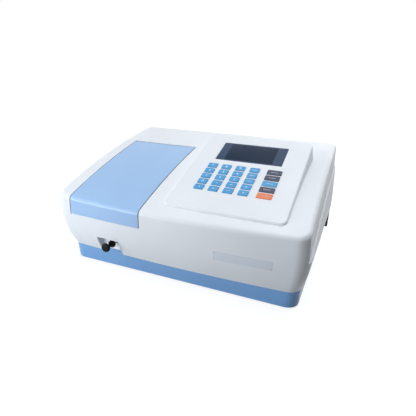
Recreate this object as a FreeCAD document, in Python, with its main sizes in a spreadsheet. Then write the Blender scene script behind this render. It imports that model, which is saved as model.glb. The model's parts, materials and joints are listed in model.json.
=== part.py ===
"""Scanning spectrophotometer: a bench instrument with a sample lid, a console and its optics.

Millimetres, +X to the right, +Y to the back, +Z up. The origin is the centre of the
bounding box on the surface that the feet rest on. Every driving size is a cell of the
sheet "Sizes". Places are worked out from those cells as lengths that keep both their
value and their expression, so each object stays bound to the sheet.
"""
import FreeCAD
import Part
import math
import os
import Sketcher

Vector = FreeCAD.Vector
doc = FreeCAD.newDocument("Spectrophotometer")

SIZES = [
    # Base tray and feet
    ("base_width", 460.0, "base tray, left to right at its bottom"),
    ("base_depth", 328.0, "base tray, front to back at its bottom"),
    ("base_height", 31.5, "bottom of the tray to its rim"),
    ("base_wall", 3.0, "tray wall"),
    ("base_floor", 3.0, "tray floor"),
    ("base_corner", 22.0, "plan radius of the tray's corners"),
    ("foot_height", 4.0, "rubber foot below the tray"),
    ("foot_radius", 13.0, "rubber foot"),
    ("foot_inset_x", 42.0, "foot centre from the tray's side"),
    ("foot_inset_y", 40.0, "foot centre from the tray's front and back"),
    ("lug_height", 6.0, "raised lug of the tray under the pull knob"),
    # Top cover
    ("cover_width", 488.6, "cover at its widest"),
    ("shoulder_height", 112.0, "height where the cover is widest"),
    ("side_taper", 12.8, "how far each side draws in down to the tray"),
    ("front_taper", 22.0, "how far the front draws in down to the tray"),
    ("front_face", 186.5, "tray centre to the front wall, at its ends"),
    ("front_bow", 9.5, "bulge of the front wall at the fold"),
    ("rear_face", 163.5, "tray centre to the rear wall at the shoulder"),
    ("upper_lean", 3.7, "inward lean of the sides above the shoulder, per 100"),
    ("rear_lean", 1.8, "inward lean of the rear wall, per 100"),
    ("front_corner", 25.0, "plan radius of the front corners"),
    ("rear_corner", 20.0, "plan radius of the rear corners"),
    ("cover_wall", 3.0, "cover wall"),
    ("top_extra", 2.5, "extra wall under the arched top"),
    ("fold_height", 140.0, "top surface at the front fold"),
    ("rear_height", 231.3, "top surface at the rear wall"),
    ("top_sag", 11.6, "rise of the arched top over its chord"),
    ("edge_round", 10.0, "rounding of the top edges"),
    ("belt_drop", 47.0, "belt line below the top surface"),
    ("belt_step", 3.5, "step in of the sides above the belt line"),
    # Console
    ("console_angle", 21.5, "slope of the console, degrees"),
    ("console_front", 171.0, "tray centre to the console's front edge"),
    ("console_height", 150.1, "console surface at its front edge"),
    ("console_left", 19.2, "console's left edge, left of the tray centre"),
    ("console_width", 218.2, "console, left to right"),
    ("console_length", 247.0, "console, up its slope"),
    ("console_corner", 12.0, "radius of the console's corners"),
    ("console_draft", 5.0, "spread of the console's walls at their foot"),
    ("console_depth", 34.0, "depth of the console's walls"),
    ("console_wall", 3.0, "thickness of the console plate"),
    ("console_round", 3.0, "rounding of the console's edge"),
    ("screen_left", 41.7, "display window from the console's left edge"),
    ("screen_back", 29.0, "display window from the console's back edge"),
    ("screen_width", 133.5, "display window"),
    ("screen_length", 64.5, "display window, up the slope"),
    ("window_thick", 2.0, "display window pane"),
    ("lcd_depth", 9.0, "display module"),
    ("key_pitch_x", 27.9, "key columns"),
    ("key_pitch_y", 17.6, "key rows"),
    ("key_width", 18.2, "number key"),
    ("key_length", 13.6, "every key, up the slope"),
    ("key_corner", 1.8, "key corner radius"),
    ("first_key_x", 46.2, "first column from the console's left edge"),
    ("screen_to_keys", 16.0, "display window to the rear row of keys"),
    ("wide_key_x", 167.4, "right column from the console's left edge"),
    ("wide_key_width", 27.0, "right column key"),
    ("key_proud", 1.2, "key top above the console"),
    ("key_depth", 3.0, "key below the console plate's underside"),
    ("key_gap", 0.35, "gap around a key"),
    ("key_travel", 0.8, "key travel"),
    ("keypad_margin", 7.0, "keypad board beyond the keys"),
    ("board_thick", 1.6, "circuit boards"),
    # Sample lid and its hinge
    ("lid_margin", 37.5, "cover's widest left side to the lid"),
    ("lid_width", 153.6, "lid"),
    ("lid_back", 44.0, "lid's back edge from the tray centre"),
    ("lid_sill", 105.0, "bottom of the lid's apron"),
    ("lid_gap", 1.8, "gap around the lid"),
    ("lid_wall", 2.5, "lid wall"),
    ("hinge_radius", 3.2, "rolled back edge of the lid"),
    ("pin_radius", 1.5, "hinge pin"),
    ("pin_length", 14.0, "hinge pin"),
    ("pin_grip", 7.0, "hinge pin inside the cover's boss"),
    ("running_gap", 0.05, "radial clearance of turning fits"),
    # Sample chamber and cell carriage
    ("chamber_margin", 1.2, "chamber tray inside the lid opening"),
    ("chamber_front", 160.0, "tray centre to the chamber's front wall"),
    ("chamber_back", 35.0, "tray centre to the chamber's back wall"),
    ("chamber_base", 34.0, "chamber tray's underside"),
    ("chamber_wall", 2.5, "chamber tray wall"),
    ("beam_height", 75.0, "light beam"),
    ("beam_y", 60.0, "light beam in front of the tray centre"),
    ("beam_hole", 6.0, "radius of the beam holes"),
    ("rod_x", 122.0, "pull rod left of the tray centre"),
    ("rod_height", 55.0, "pull rod"),
    ("rod_radius", 3.0, "pull rod"),
    ("rail_radius", 3.0, "carriage rails"),
    ("rail_spread", 20.0, "each rail from the rod's plane"),
    ("rail_height", 45.0, "carriage rails"),
    ("cell_pitch", 20.0, "cell places"),
    ("cell_square", 12.6, "cell socket"),
    ("cell_floor", 52.0, "bottom of the cell sockets"),
    ("cell_top", 88.0, "top of the carriage"),
    ("carriage_half", 28.0, "carriage half width"),
    ("tower_half", 12.0, "cell holder half width"),
    ("carriage_low", 40.0, "carriage underside"),
    ("carriage_deck", 61.0, "top of the carriage's base block"),
    ("carriage_end", 12.0, "carriage beyond its end cells"),
    ("knob_reach", 203.5, "tray centre to the knob's face"),
    ("knob_radius", 9.0, "knob's front disc"),
    ("knob_inner", 7.8, "knob's inner disc"),
    ("knob_waist", 3.8, "knob's waist"),
    ("knob_length", 24.5, "knob"),
    ("knob_disc", 6.0, "thickness of each disc of the knob"),
    ("notch_half", 24.75, "half width of the notch around the rod"),
    ("notch_offset", 6.75, "notch centre left of the rod"),
    ("notch_height", 33.0, "notch above the tray's rim"),
    ("notch_floor", 168.5, "tray centre to the notch's floor"),
    # Optics
    ("bench_gap", 11.2, "lid to the bench's left edge"),
    ("bench_clear", 30.3, "bench's right edge to the cover's widest right side"),
    ("bench_front", 118.0, "bench's front edge, ahead of the tray centre"),
    ("bench_back", 146.0, "bench's back edge"),
    ("bench_base", 36.0, "bench underside"),
    ("bench_thick", 6.0, "bench plate"),
    ("mono_inset", 6.0, "monochromator's left side from the bench's"),
    ("mono_right", 84.0, "monochromator's right side"),
    ("mono_front", 110.0, "monochromator's front, ahead of the tray centre"),
    ("mono_back", 70.0, "monochromator's back"),
    ("mono_height", 62.0, "monochromator housing"),
    ("mono_wall", 4.0, "monochromator walls"),
    ("mono_lid", 3.0, "monochromator cover plate"),
    ("table_radius", 19.0, "grating table"),
    ("table_thick", 5.0, "grating table"),
    ("grating_side", 26.0, "grating"),
    ("grating_thick", 6.0, "grating"),
    ("grating_x", 30.0, "grating axis"),
    ("grating_y", 72.0, "grating axis ahead of the tray centre"),
    ("motor_radius", 12.0, "stepper motor"),
    ("motor_length", 17.0, "stepper motor"),
    ("shaft_radius", 2.5, "stepper shaft"),
    ("mirror_side", 34.0, "collimating mirror, upright"),
    ("mirror_gap", 26.0, "half the monochromator's width left beside each mirror"),
    ("mirror_thick", 6.0, "collimating mirror"),
    ("lamp_left", 104.0, "lamp house's left side"),
    ("lamp_right", 206.0, "lamp house's right side"),
    ("lamp_front", 2.0, "lamp house's front, behind the tray centre"),
    ("lamp_back", 116.0, "lamp house's back"),
    ("lamp_height", 84.0, "lamp house"),
    ("lamp_wall", 2.0, "lamp house wall"),
    ("lamp_port", 4.0, "radius of the light port"),
    ("turret_x", 140.0, "lamp mirror's axis"),
    ("entrance_y", 36.0, "beam from the lamps, behind the tray centre"),
    ("wheel_radius", 25.0, "filter wheel"),
    ("wheel_thick", 3.0, "filter wheel"),
    ("wheel_x", 90.0, "filter wheel's left face"),
    ("filter_circle", 17.0, "filters from the wheel's axis"),
    ("filter_radius", 5.0, "filter hole"),
    ("filter_count", 6.0, "filters"),
    # Electrics and the rear
    ("supply_width", 96.0, "power supply"),
    ("supply_height", 44.0, "power supply"),
    ("supply_wall", 1.5, "power supply's case"),
    ("panel_left", 112.0, "rear panel's left edge, left of the tray centre"),
    ("panel_right", 148.0, "rear panel's right edge"),
    ("panel_low", 36.0, "rear panel's lower edge"),
    ("panel_high", 124.0, "rear panel's upper edge"),
    ("panel_thick", 2.0, "rear panel"),
    ("panel_lap", 6.0, "rear panel behind the cover's wall"),
    ("inlet_x", 84.0, "power inlet left of the tray centre"),
    ("inlet_height", 62.0, "power inlet"),
    ("inlet_width", 30.0, "power inlet shell"),
    ("inlet_tall", 23.0, "power inlet shell"),
    ("switch_x", 84.0, "power switch left of the tray centre"),
    ("switch_height", 98.0, "power switch"),
    ("switch_width", 14.0, "rocker"),
    ("switch_tall", 22.0, "rocker"),
    ("fan_x", 104.0, "fan"),
    ("fan_height", 80.0, "fan"),
    ("fan_side", 70.0, "fan frame"),
    ("fan_depth", 15.0, "fan frame"),
    ("fan_bore", 32.0, "fan duct radius"),
    ("hub_radius", 13.0, "fan hub"),
    ("blade_count", 7.0, "fan blades"),
    ("sink_inset", 3.3, "heat sink's right edge to the cover's widest right side"),
    ("sink_width", 86.0, "heat sink"),
    ("sink_low", 29.0, "heat sink's underside"),
    ("sink_tall", 46.0, "heat sink"),
    ("sink_plate", 5.0, "heat sink's plate"),
    ("sink_depth", 19.0, "heat sink over all"),
    ("fin_thick", 2.0, "heat sink fin"),
    ("fin_count", 10.0, "heat sink fins"),
]

sheet = doc.addObject("Spreadsheet::Sheet", "Sizes")
for row, (alias, number, meaning) in enumerate(SIZES, start=1):
    sheet.set(f"A{row}", alias)
    sheet.set(f"B{row}", str(number))
    sheet.setAlias(f"B{row}", alias)
    sheet.set(f"C{row}", meaning)
doc.recompute()


class Length:
    """A length that knows its value now and the expression that binds it to the sheet."""

    def __init__(self, text, value):
        self.text = text
        self.value = value

    def __float__(self):
        return self.value

    def __add__(self, other):
        other = length(other)
        return Length(f"({self.text} + {other.text})", self.value + other.value)

    def __radd__(self, other):
        return length(other) + self

    def __sub__(self, other):
        other = length(other)
        return Length(f"({self.text} - {other.text})", self.value - other.value)

    def __rsub__(self, other):
        return length(other) - self

    def __mul__(self, other):
        other = length(other)
        return Length(f"({self.text} * {other.text})", self.value * other.value)

    def __rmul__(self, other):
        return length(other) * self

    def __truediv__(self, other):
        other = length(other)
        return Length(f"({self.text} / {other.text})", self.value / other.value)

    def __neg__(self):
        return length(0) - self


def length(amount):
    """Wrap a plain number as a length; a length is left as it is."""
    if isinstance(amount, Length):
        return amount
    return Length(f"({float(amount)})", float(amount))


def size(alias):
    """The named cell of the sheet."""
    return Length(f"Sizes.{alias}", float(sheet.get(alias)))


def trig(function, alias):
    """Sine or cosine of an angle cell that holds degrees."""
    worked = getattr(math, function)(math.radians(float(sheet.get(alias))))
    return Length(f"{function}(Sizes.{alias} * 1 deg)", worked)


# Datums shared by the sub-parts
half_base = size("base_width") / 2
half_depth = size("base_depth") / 2
rim = size("base_height")
half_cover = size("cover_width") / 2
rod_x = -size("rod_x")
rod_z = size("rod_height")
beam_y = -size("beam_y")
beam_z = size("beam_height")
sink_back = size("rear_face") + size("sink_depth")
# The tray's centre lies here, so that the bounding box is centred on the origin
centre_y = (size("knob_reach") - sink_back) / 2
deck = size("foot_height")

lid_left = size("lid_margin") - half_cover
lid_right = lid_left + size("lid_width")
lid_back = size("lid_back")
console_cos = trig("cos", "console_angle")
console_sin = trig("sin", "console_angle")
console_left = -size("console_left")
screen_start = size("console_length") - size("screen_back") - size("screen_length")
console_tan = math.tan(math.radians(float(size("console_angle"))))

finished = []


def bind(thing, prop, amount):
    """Tie one property of an object to the sheet."""
    thing.setExpression(prop, length(amount).text)


def seat(thing, x, y, z, turn=None):
    """Place an object at a point given from the tray's centre and underside."""
    if turn is not None:
        thing.Placement = FreeCAD.Placement(Vector(0, 0, 0), turn)
    bind(thing, "Placement.Base.x", x)
    bind(thing, "Placement.Base.y", centre_y + y)
    bind(thing, "Placement.Base.z", deck + z)
    return thing


def block(name, low, high):
    """A box between two corners."""
    thing = doc.addObject("Part::Box", name)
    for prop, a, b in zip(("Length", "Width", "Height"), low, high):
        bind(thing, prop, length(b) - a)
    return seat(thing, *low)


ALONG = {
    "x": FreeCAD.Rotation(Vector(0, 1, 0), 90),
    "y": FreeCAD.Rotation(Vector(1, 0, 0), -90),
    "z": FreeCAD.Rotation(),
}


def bar(name, radius, start, reach, along="z"):
    """A round bar from a start point, towards +X, +Y or +Z."""
    thing = doc.addObject("Part::Cylinder", name)
    bind(thing, "Radius", radius)
    bind(thing, "Height", reach)
    return seat(thing, *start, ALONG[along])


def fuse(name, pieces):
    thing = doc.addObject("Part::MultiFuse", name)
    thing.Shapes = pieces
    thing.Refine = True
    return thing


def cut(name, base, tools):
    """Take one or more tools out of a piece."""
    thing = doc.addObject("Part::Cut", name)
    thing.Base = base
    thing.Tool = tools[0] if len(tools) == 1 else fuse(name + "_tools", tools)
    return thing


def shaped(name, shape):
    """An object whose shape is worked out here, in the tray's own place."""
    thing = doc.addObject("Part::Feature", name)
    thing.Shape = shape
    seat(thing, 0, 0, 0)
    return thing


def group(name, pieces):
    """Separate solids that share one sub-part."""
    thing = doc.addObject("Part::Compound", name)
    thing.Links = pieces
    return thing


def finish(thing, label):
    """Mark an object as a sub-part; its label names its file."""
    thing.Label = label
    finished.append(thing)
    return thing


def on_console(thing, x, slope, rise, turn=None):
    """Place an object by its distance from the console's left and front edges."""
    tilt = FreeCAD.Rotation(Vector(1, 0, 0), float(size("console_angle")))
    thing.Placement = FreeCAD.Placement(Vector(0, 0, 0), tilt if turn is None else tilt.multiply(turn))
    y = slope * console_cos - rise * console_sin - size("console_front")
    z = slope * console_sin + rise * console_cos + size("console_height")
    bind(thing, "Placement.Base.x", console_left + x)
    bind(thing, "Placement.Base.y", centre_y + y)
    bind(thing, "Placement.Base.z", deck + z)
    if turn is None:
        bind(thing, "Placement.Rotation.Angle", size("console_angle"))
    return thing


def console_block(name, x, slope, rise, width, reach, tall):
    """A box that lies square to the console."""
    thing = doc.addObject("Part::Box", name)
    bind(thing, "Length", width)
    bind(thing, "Width", reach)
    bind(thing, "Height", tall)
    return on_console(thing, x, slope, rise)


# Sketched bodies

def plane_of(body, role):
    return next(item for item in body.Origin.OriginFeatures if item.Role == role)


def sketch_on(body, name, role="XY_Plane", offset=None):
    sketch = body.newObject("Sketcher::SketchObject", name)
    sketch.AttachmentSupport = (plane_of(body, role), [""])
    sketch.MapMode = "FlatFace"
    if offset is not None:
        bind(sketch, "AttachmentOffset.Base.z", offset)
    return sketch


def draw_round_rectangle(sketch, width, reach, radius):
    """A rectangle with round corners about the sketch's origin, tied to the sheet."""
    w, r = float(width) / 2, float(radius)
    d = float(reach) / 2
    corners = [(w - r, d - r, 0), (-w + r, d - r, 90), (-w + r, -d + r, 180), (w - r, -d + r, 270)]
    for x, y, start in corners:
        circle = Part.Circle(Vector(x, y, 0), Vector(0, 0, 1), r)
        first = math.radians(start)
        sketch.addGeometry(Part.ArcOfCircle(circle, first, first + math.pi / 2), False)
    sides = [((w - r, d), (-w + r, d)), ((-w, d - r), (-w, -d + r)),
             ((-w + r, -d), (w - r, -d)), ((w, -d + r), (w, d - r))]
    for a, b in sides:
        sketch.addGeometry(Part.LineSegment(Vector(*a, 0), Vector(*b, 0)), False)
    for corner in range(4):
        side = 4 + corner
        following = (corner + 1) % 4
        sketch.addConstraint(Sketcher.Constraint("Tangent", corner, 2, side, 1))
        sketch.addConstraint(Sketcher.Constraint("Tangent", side, 2, following, 1))
        level = "Horizontal" if corner % 2 == 0 else "Vertical"
        sketch.addConstraint(Sketcher.Constraint(level, side))
    for corner in (1, 2, 3):
        sketch.addConstraint(Sketcher.Constraint("Equal", 0, corner))
    sketch.addConstraint(Sketcher.Constraint("Symmetric", 0, 3, 2, 3, -1, 1))
    for constraint, name, amount in (
            (Sketcher.Constraint("Radius", 0, r), "corner", radius),
            (Sketcher.Constraint("DistanceX", 5, 1, 7, 1, 2 * w), "width", width),
            (Sketcher.Constraint("DistanceY", 6, 1, 4, 1, 2 * d), "reach", reach)):
        index = sketch.addConstraint(constraint)
        sketch.renameConstraint(index, name)
        bind(sketch, "Constraints." + name, amount)


def draw_rectangle(sketch, width, reach):
    """A plain rectangle about the sketch's origin, tied to the sheet."""
    w, d = float(width) / 2, float(reach) / 2
    corners = [(w, d), (-w, d), (-w, -d), (w, -d)]
    for index in range(4):
        start, end = corners[index], corners[(index + 1) % 4]
        sketch.addGeometry(Part.LineSegment(Vector(*start, 0), Vector(*end, 0)), False)
    for index in range(4):
        sketch.addConstraint(Sketcher.Constraint("Coincident", index, 2, (index + 1) % 4, 1))
        level = "Horizontal" if index % 2 == 0 else "Vertical"
        sketch.addConstraint(Sketcher.Constraint(level, index))
    sketch.addConstraint(Sketcher.Constraint("Symmetric", 0, 1, 2, 1, -1, 1))
    for constraint, name, amount in (
            (Sketcher.Constraint("DistanceX", 0, 2, 0, 1, 2 * w), "width", width),
            (Sketcher.Constraint("DistanceY", 1, 2, 1, 1, 2 * d), "reach", reach)):
        index = sketch.addConstraint(constraint)
        sketch.renameConstraint(index, name)
        bind(sketch, "Constraints." + name, amount)


def pad(body, name, sketch, tall, taper=None):
    feature = body.newObject("PartDesign::Pad", name)
    feature.Profile = sketch
    bind(feature, "Length", tall)
    if taper is not None:
        feature.TaperAngle = taper
    return feature


def revolve(body, name, points):
    """A turned piece about the body's Z axis from (radius, height) points."""
    sketch = sketch_on(body, name + "_profile", "XZ_Plane")
    count = len(points)
    for index in range(count):
        a, b = points[index], points[(index + 1) % count]
        sketch.addGeometry(Part.LineSegment(
            Vector(float(length(a[0])), float(length(a[1])), 0),
            Vector(float(length(b[0])), float(length(b[1])), 0)), False)
    for index in range(count):
        sketch.addConstraint(Sketcher.Constraint("Coincident", index, 2, (index + 1) % count, 1))
    for index, point in enumerate(points):
        for axis, amount in zip("XY", point):
            if float(length(amount)) == 0:
                sketch.addConstraint(Sketcher.Constraint(
                    "PointOnObject", index, 1, -2 if axis == "X" else -1))
                continue
            made = sketch.addConstraint(Sketcher.Constraint(
                "Distance" + axis, -1, 1, index, 1, float(amount)))
            label = f"at{axis}{index}"
            sketch.renameConstraint(made, label)
            bind(sketch, "Constraints." + label, amount)
    feature = body.newObject("PartDesign::Revolution", name)
    feature.Profile = sketch
    feature.ReferenceAxis = (sketch, ["V_Axis"])
    feature.Angle = 360
    return feature


# The housing's form: side and front profiles, a rear plane and an arched top

SAFE = 30.0
FRONT_SWEEP = 16.0


def tangent_arc(shoulder, foot, inward):
    """An arc from the foot up to the shoulder, upright to the inward direction there."""
    chord = foot - shoulder
    radius = chord.dot(chord) / (2 * chord.dot(inward))
    centre = shoulder + inward * radius
    middle = (shoulder + foot) * 0.5 - centre
    middle.normalize()
    return Part.Arc(foot, centre + middle * radius, shoulder).toShape()


def side_block(inset, low, ahead, behind):
    """The housing's front view, drawn along Y."""
    rim_z = float(rim)
    shoulder_z = float(size("shoulder_height"))
    top_z = float(size("rear_height")) + SAFE
    lean = float(size("upper_lean")) / 100
    half = float(half_cover) - inset
    foot = Vector(half - float(size("side_taper")), -ahead, rim_z)
    shoulder = Vector(half, -ahead, shoulder_z)
    top = Vector(half - lean * (top_z - shoulder_z), -ahead, top_z)
    inward = Vector(-1, 0, -lean)
    inward.normalize()

    def mirror(point):
        return Vector(-point.x, point.y, point.z)

    edges = [tangent_arc(shoulder, foot, inward), Part.makeLine(shoulder, top),
             Part.makeLine(top, mirror(top)), Part.makeLine(mirror(top), mirror(shoulder)),
             tangent_arc(mirror(shoulder), mirror(foot), Vector(-inward.x, 0, inward.z))]
    if low < 0:
        drop = foot + Vector(0, 0, low)
        edges += [Part.makeLine(mirror(foot), mirror(drop)), Part.makeLine(mirror(drop), drop),
                  Part.makeLine(drop, foot)]
    else:
        edges.append(Part.makeLine(mirror(foot), foot))
    outline = Part.Wire(Part.__sortEdges__(edges))
    return Part.Face(outline).extrude(Vector(0, ahead + behind, 0))


def front_block(inset):
    """The housing's bulging front, turned about a far upright axis."""
    bow = float(size("front_bow"))
    half = float(half_cover)
    big = (half ** 2 + bow ** 2) / (2 * bow)
    nose = -float(size("front_face")) - bow
    axis = Vector(0, nose + big, 0)
    nose += inset
    rim_z = float(rim)
    shoulder = Vector(0, nose, float(size("shoulder_height")))
    foot = Vector(0, nose + float(size("front_taper")), rim_z)
    below = foot - Vector(0, 0, SAFE)
    top = Vector(0, nose, float(size("rear_height")) + SAFE)
    far_top = top + Vector(0, 2 * half, 0)
    far_low = Vector(0, far_top.y, below.z)
    outline = Part.Wire([
        tangent_arc(shoulder, foot, Vector(0, 1, 0)), Part.makeLine(shoulder, top),
        Part.makeLine(top, far_top), Part.makeLine(far_top, far_low),
        Part.makeLine(far_low, below), Part.makeLine(below, foot)])
    face = Part.Face(outline)
    face.rotate(axis, Vector(0, 0, 1), -FRONT_SWEEP / 2)
    return face.revolve(axis, Vector(0, 0, 1), FRONT_SWEEP)


def rear_block(inset):
    """Everything ahead of the leaning rear wall."""
    face_y = float(size("rear_face")) - inset
    lean = float(size("rear_lean")) / 100
    shoulder_z = float(size("shoulder_height"))
    top_z = float(size("rear_height")) + SAFE
    reach = float(half_cover) + SAFE
    points = [(-reach - SAFE, -SAFE), (face_y + lean * (shoulder_z + SAFE), -SAFE),
              (face_y - lean * (top_z - shoulder_z), top_z), (-reach - SAFE, top_z)]
    outline = Part.makePolygon([Vector(-reach, y, z) for y, z in points + points[:1]])
    return Part.Face(outline).extrude(Vector(2 * reach, 0, 0))


def corner_edges(shape, front):
    """The upright edges at the front or rear corners."""
    found = []
    for edge in shape.Edges:
        box = edge.BoundBox
        middle = edge.CenterOfMass
        if abs(middle.x) < float(half_cover) * 0.8 or box.XLength > box.ZLength:
            continue
        if box.YLength > box.ZLength or (middle.y < 0) != front:
            continue
        found.append(edge)
    return found


def housing_form(side=0.0, front=0.0, rear=0.0, low=0.0, rounds=True):
    """The housing without its top, drawn in by the given insets."""
    ahead = float(size("front_face")) + float(size("front_bow")) + SAFE
    behind = float(size("rear_face")) + SAFE
    form = side_block(side, low, ahead, behind).common(rear_block(rear))
    if rounds:
        form = form.common(front_block(front))
        form = form.makeFillet(float(size("front_corner")) - max(front, 0.0), corner_edges(form, True))
        form = form.makeFillet(float(size("rear_corner")) - max(rear, 0.0), corner_edges(form, False))
    return form


def arch(drop):
    """A round block whose top is the arched top surface, lowered by a drop."""
    front_y = -float(size("front_face"))
    rear_y = float(size("rear_face"))
    start = Vector(0, front_y, float(size("fold_height")))
    end = Vector(0, rear_y, float(size("rear_height")))
    middle = (start + end) * 0.5 + Vector(0, 0, float(size("top_sag")))
    curve = Part.Arc(start, middle, end)
    circle = curve.Circle if hasattr(curve, "Circle") else Part.Circle(start, middle, end)
    reach = float(size("cover_width")) + 2 * SAFE
    block_start = Vector(-reach / 2, circle.Center.y, circle.Center.z)
    return Part.makeCylinder(circle.Radius - drop, reach, block_start, Vector(1, 0, 0))


def arch_height(y):
    """Height of the arched top at a distance from the tray's centre."""
    front_y = -float(size("front_face"))
    rear_y = float(size("rear_face"))
    start = Vector(0, front_y, float(size("fold_height")))
    end = Vector(0, rear_y, float(size("rear_height")))
    middle = (start + end) * 0.5 + Vector(0, 0, float(size("top_sag")))
    circle = Part.Circle(start, middle, end)
    return circle.Center.z + math.sqrt(circle.Radius ** 2 - (y - circle.Center.y) ** 2)


def top_edges(shape, drop=0.0):
    """The edges around the arched top face."""
    arched = [face for face in shape.Faces
              if isinstance(face.Surface, Part.Cylinder) and face.Surface.Radius > 500]
    return max(arched, key=lambda face: face.Area).OuterWire.Edges


def outer_skin():
    """The closed outside of the housing, with its belt line and rounded top."""
    form = housing_form().common(arch(0))
    form = form.makeFillet(float(size("edge_round")), top_edges(form))
    above_belt = form.cut(arch(float(size("belt_drop"))))
    narrowed = housing_form(side=float(size("belt_step")), rear=-SAFE, rounds=False)
    return form.cut(above_belt.cut(narrowed))


def corner_face(corner, sign, run):
    """Outline of what is cut off a corner of the hollow, from one wall's line to the other's."""
    short = abs(run) * 0.7
    points = [Vector(-sign * short, 0, 0), Vector(-sign * short, -run * 2, 0),
              Vector(sign * SAFE, -run * 2, 0),
              Vector(sign * SAFE, run * 0.7, 0), Vector(0, run * 0.7, 0)]
    return Part.makePolygon([corner + point for point in points + points[:1]])


def inner_space(inset, low=0.0):
    """The hollow under the cover, inset from the outside, with flat-cut corners."""
    side = inset + float(size("belt_step"))
    ahead = float(size("front_face")) + float(size("front_bow")) + SAFE
    form = side_block(side, low, ahead, float(size("rear_face")) + SAFE)
    form = form.common(rear_block(inset)).common(front_block(inset))
    half = float(half_cover) - side
    shoulder_z = float(size("shoulder_height"))
    drawn_in = (shoulder_z - float(rim) + 4) / (shoulder_z - float(rim))
    for sign in (-1, 1):
        for y, run, taper in (
                (-float(size("front_face")) + inset, float(size("front_corner")), float(size("front_taper"))),
                (float(size("rear_face")) - inset, -float(size("rear_corner")), 0.0)):
            # Upright above the shoulder, and drawn in with the housing below it
            middle = Vector(sign * half, y, shoulder_z)
            foot = middle + Vector(-sign * float(size("side_taper")) * drawn_in, taper * drawn_in,
                                   float(rim) - 4 - shoulder_z)
            top = middle + Vector(0, 0, float(size("rear_height")) + SAFE - shoulder_z)
            for low, high in ((middle, top), (foot, middle)):
                ends = [corner_face(corner, sign, run) for corner in (low, high)]
                form = form.cut(Part.makeLoft(ends, True, True))
    return form.common(arch(inset + float(size("top_extra"))))


outside = outer_skin()
hollow = inner_space(float(size("cover_wall")), low=-1.0)
under_cover = inner_space(float(size("cover_wall")) + 1.0, low=-1.0)


def solid_block(low, high):
    """A plain box shape between two corners, in the tray's own place."""
    low = [float(length(v)) for v in low]
    high = [float(length(v)) for v in high]
    return Part.makeBox(high[0] - low[0], high[1] - low[1], high[2] - low[2], Vector(*low))


def solid_bar(radius, start, reach, direction):
    return Part.makeCylinder(float(radius), float(reach), Vector(*[float(length(v)) for v in start]),
                             Vector(*direction))


# Console wedge, drawn square to its own surface

TILT = FreeCAD.Rotation(Vector(1, 0, 0), float(size("console_angle")))
CONSOLE_ORIGIN = Vector(float(console_left), -float(size("console_front")), float(size("console_height")))


def console_point(x, slope, rise):
    return CONSOLE_ORIGIN + TILT.multVec(Vector(x, slope, rise))


def console_wedge(inset, top, depth):
    """The console's raised block between two depths; its back wall stands upright."""
    wide = float(size("console_width"))
    tall = float(size("console_length"))
    spread = float(size("console_draft")) * (depth - top) / float(size("console_depth"))
    back = tall - inset
    side_view = [(inset - spread, -depth), (inset, -top), (back - top * console_tan, -top),
                 (back - depth * console_tan, -depth)]
    front_view = [(inset - spread, -depth), (inset, -top),
                  (wide - inset, -top), (wide - inset + spread, -depth)]
    outline = Part.makePolygon([console_point(-SAFE, y, z) for y, z in side_view + side_view[:1]])
    wedge = Part.Face(outline).extrude(TILT.multVec(Vector(wide + 2 * SAFE, 0, 0)))
    outline = Part.makePolygon([console_point(x, -SAFE, z) for x, z in front_view + front_view[:1]])
    wedge = wedge.common(Part.Face(outline).extrude(TILT.multVec(Vector(0, tall + 2 * SAFE, 0))))
    upright = [edge for edge in wedge.Edges if abs(
        TILT.inverted().multVec(edge.Vertexes[0].Point - edge.Vertexes[1].Point).z) > (depth - top) / 2]
    return wedge.makeFillet(float(size("console_corner")) - inset, upright)


def console_box(x, slope, width, reach, low, high):
    """A straight cut through the console plate."""
    shape = Part.makeBox(float(width), float(reach), high - low, Vector(float(x), float(slope), low))
    shape.Placement = FreeCAD.Placement(CONSOLE_ORIGIN, TILT)
    return shape


KEY_ROWS = 5
KEY_COLUMNS = 4
first_key_y = (screen_start - size("screen_to_keys") - size("key_length") / 2
               - size("key_pitch_y") * (KEY_ROWS - 1))
last_key_x = size("first_key_x") + size("key_pitch_x") * (KEY_COLUMNS - 1)


def key_places():
    """Every key as (name, left, front, width), from the console's corner."""
    places = []
    for line in range(KEY_ROWS):
        front = first_key_y - size("key_length") / 2 + size("key_pitch_y") * (KEY_ROWS - 1 - line)
        for column in range(KEY_COLUMNS):
            left = size("first_key_x") - size("key_width") / 2 + size("key_pitch_x") * column
            places.append((f"key_row{line + 1}_col{column + 1}", left, front, size("key_width")))
        left = size("wide_key_x") - size("wide_key_width") / 2
        places.append((f"key_side{line + 1}", left, front, size("wide_key_width")))
    return places



def lid_window(gap, back_gap):
    """The upright block that the lid fills, widened by a gap."""
    low = (lid_left - gap, -half_depth - SAFE * 2, size("lid_sill") - gap)
    high = (lid_right + gap, lid_back + back_gap, size("rear_height") + SAFE)
    return solid_block(low, high)


bench_left = lid_right + size("bench_gap")
bench_right = half_cover - size("bench_clear")
hinge_y = lid_back - size("hinge_radius")
hinge_z_value = arch_height(float(hinge_y)) - float(size("hinge_radius"))


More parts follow.
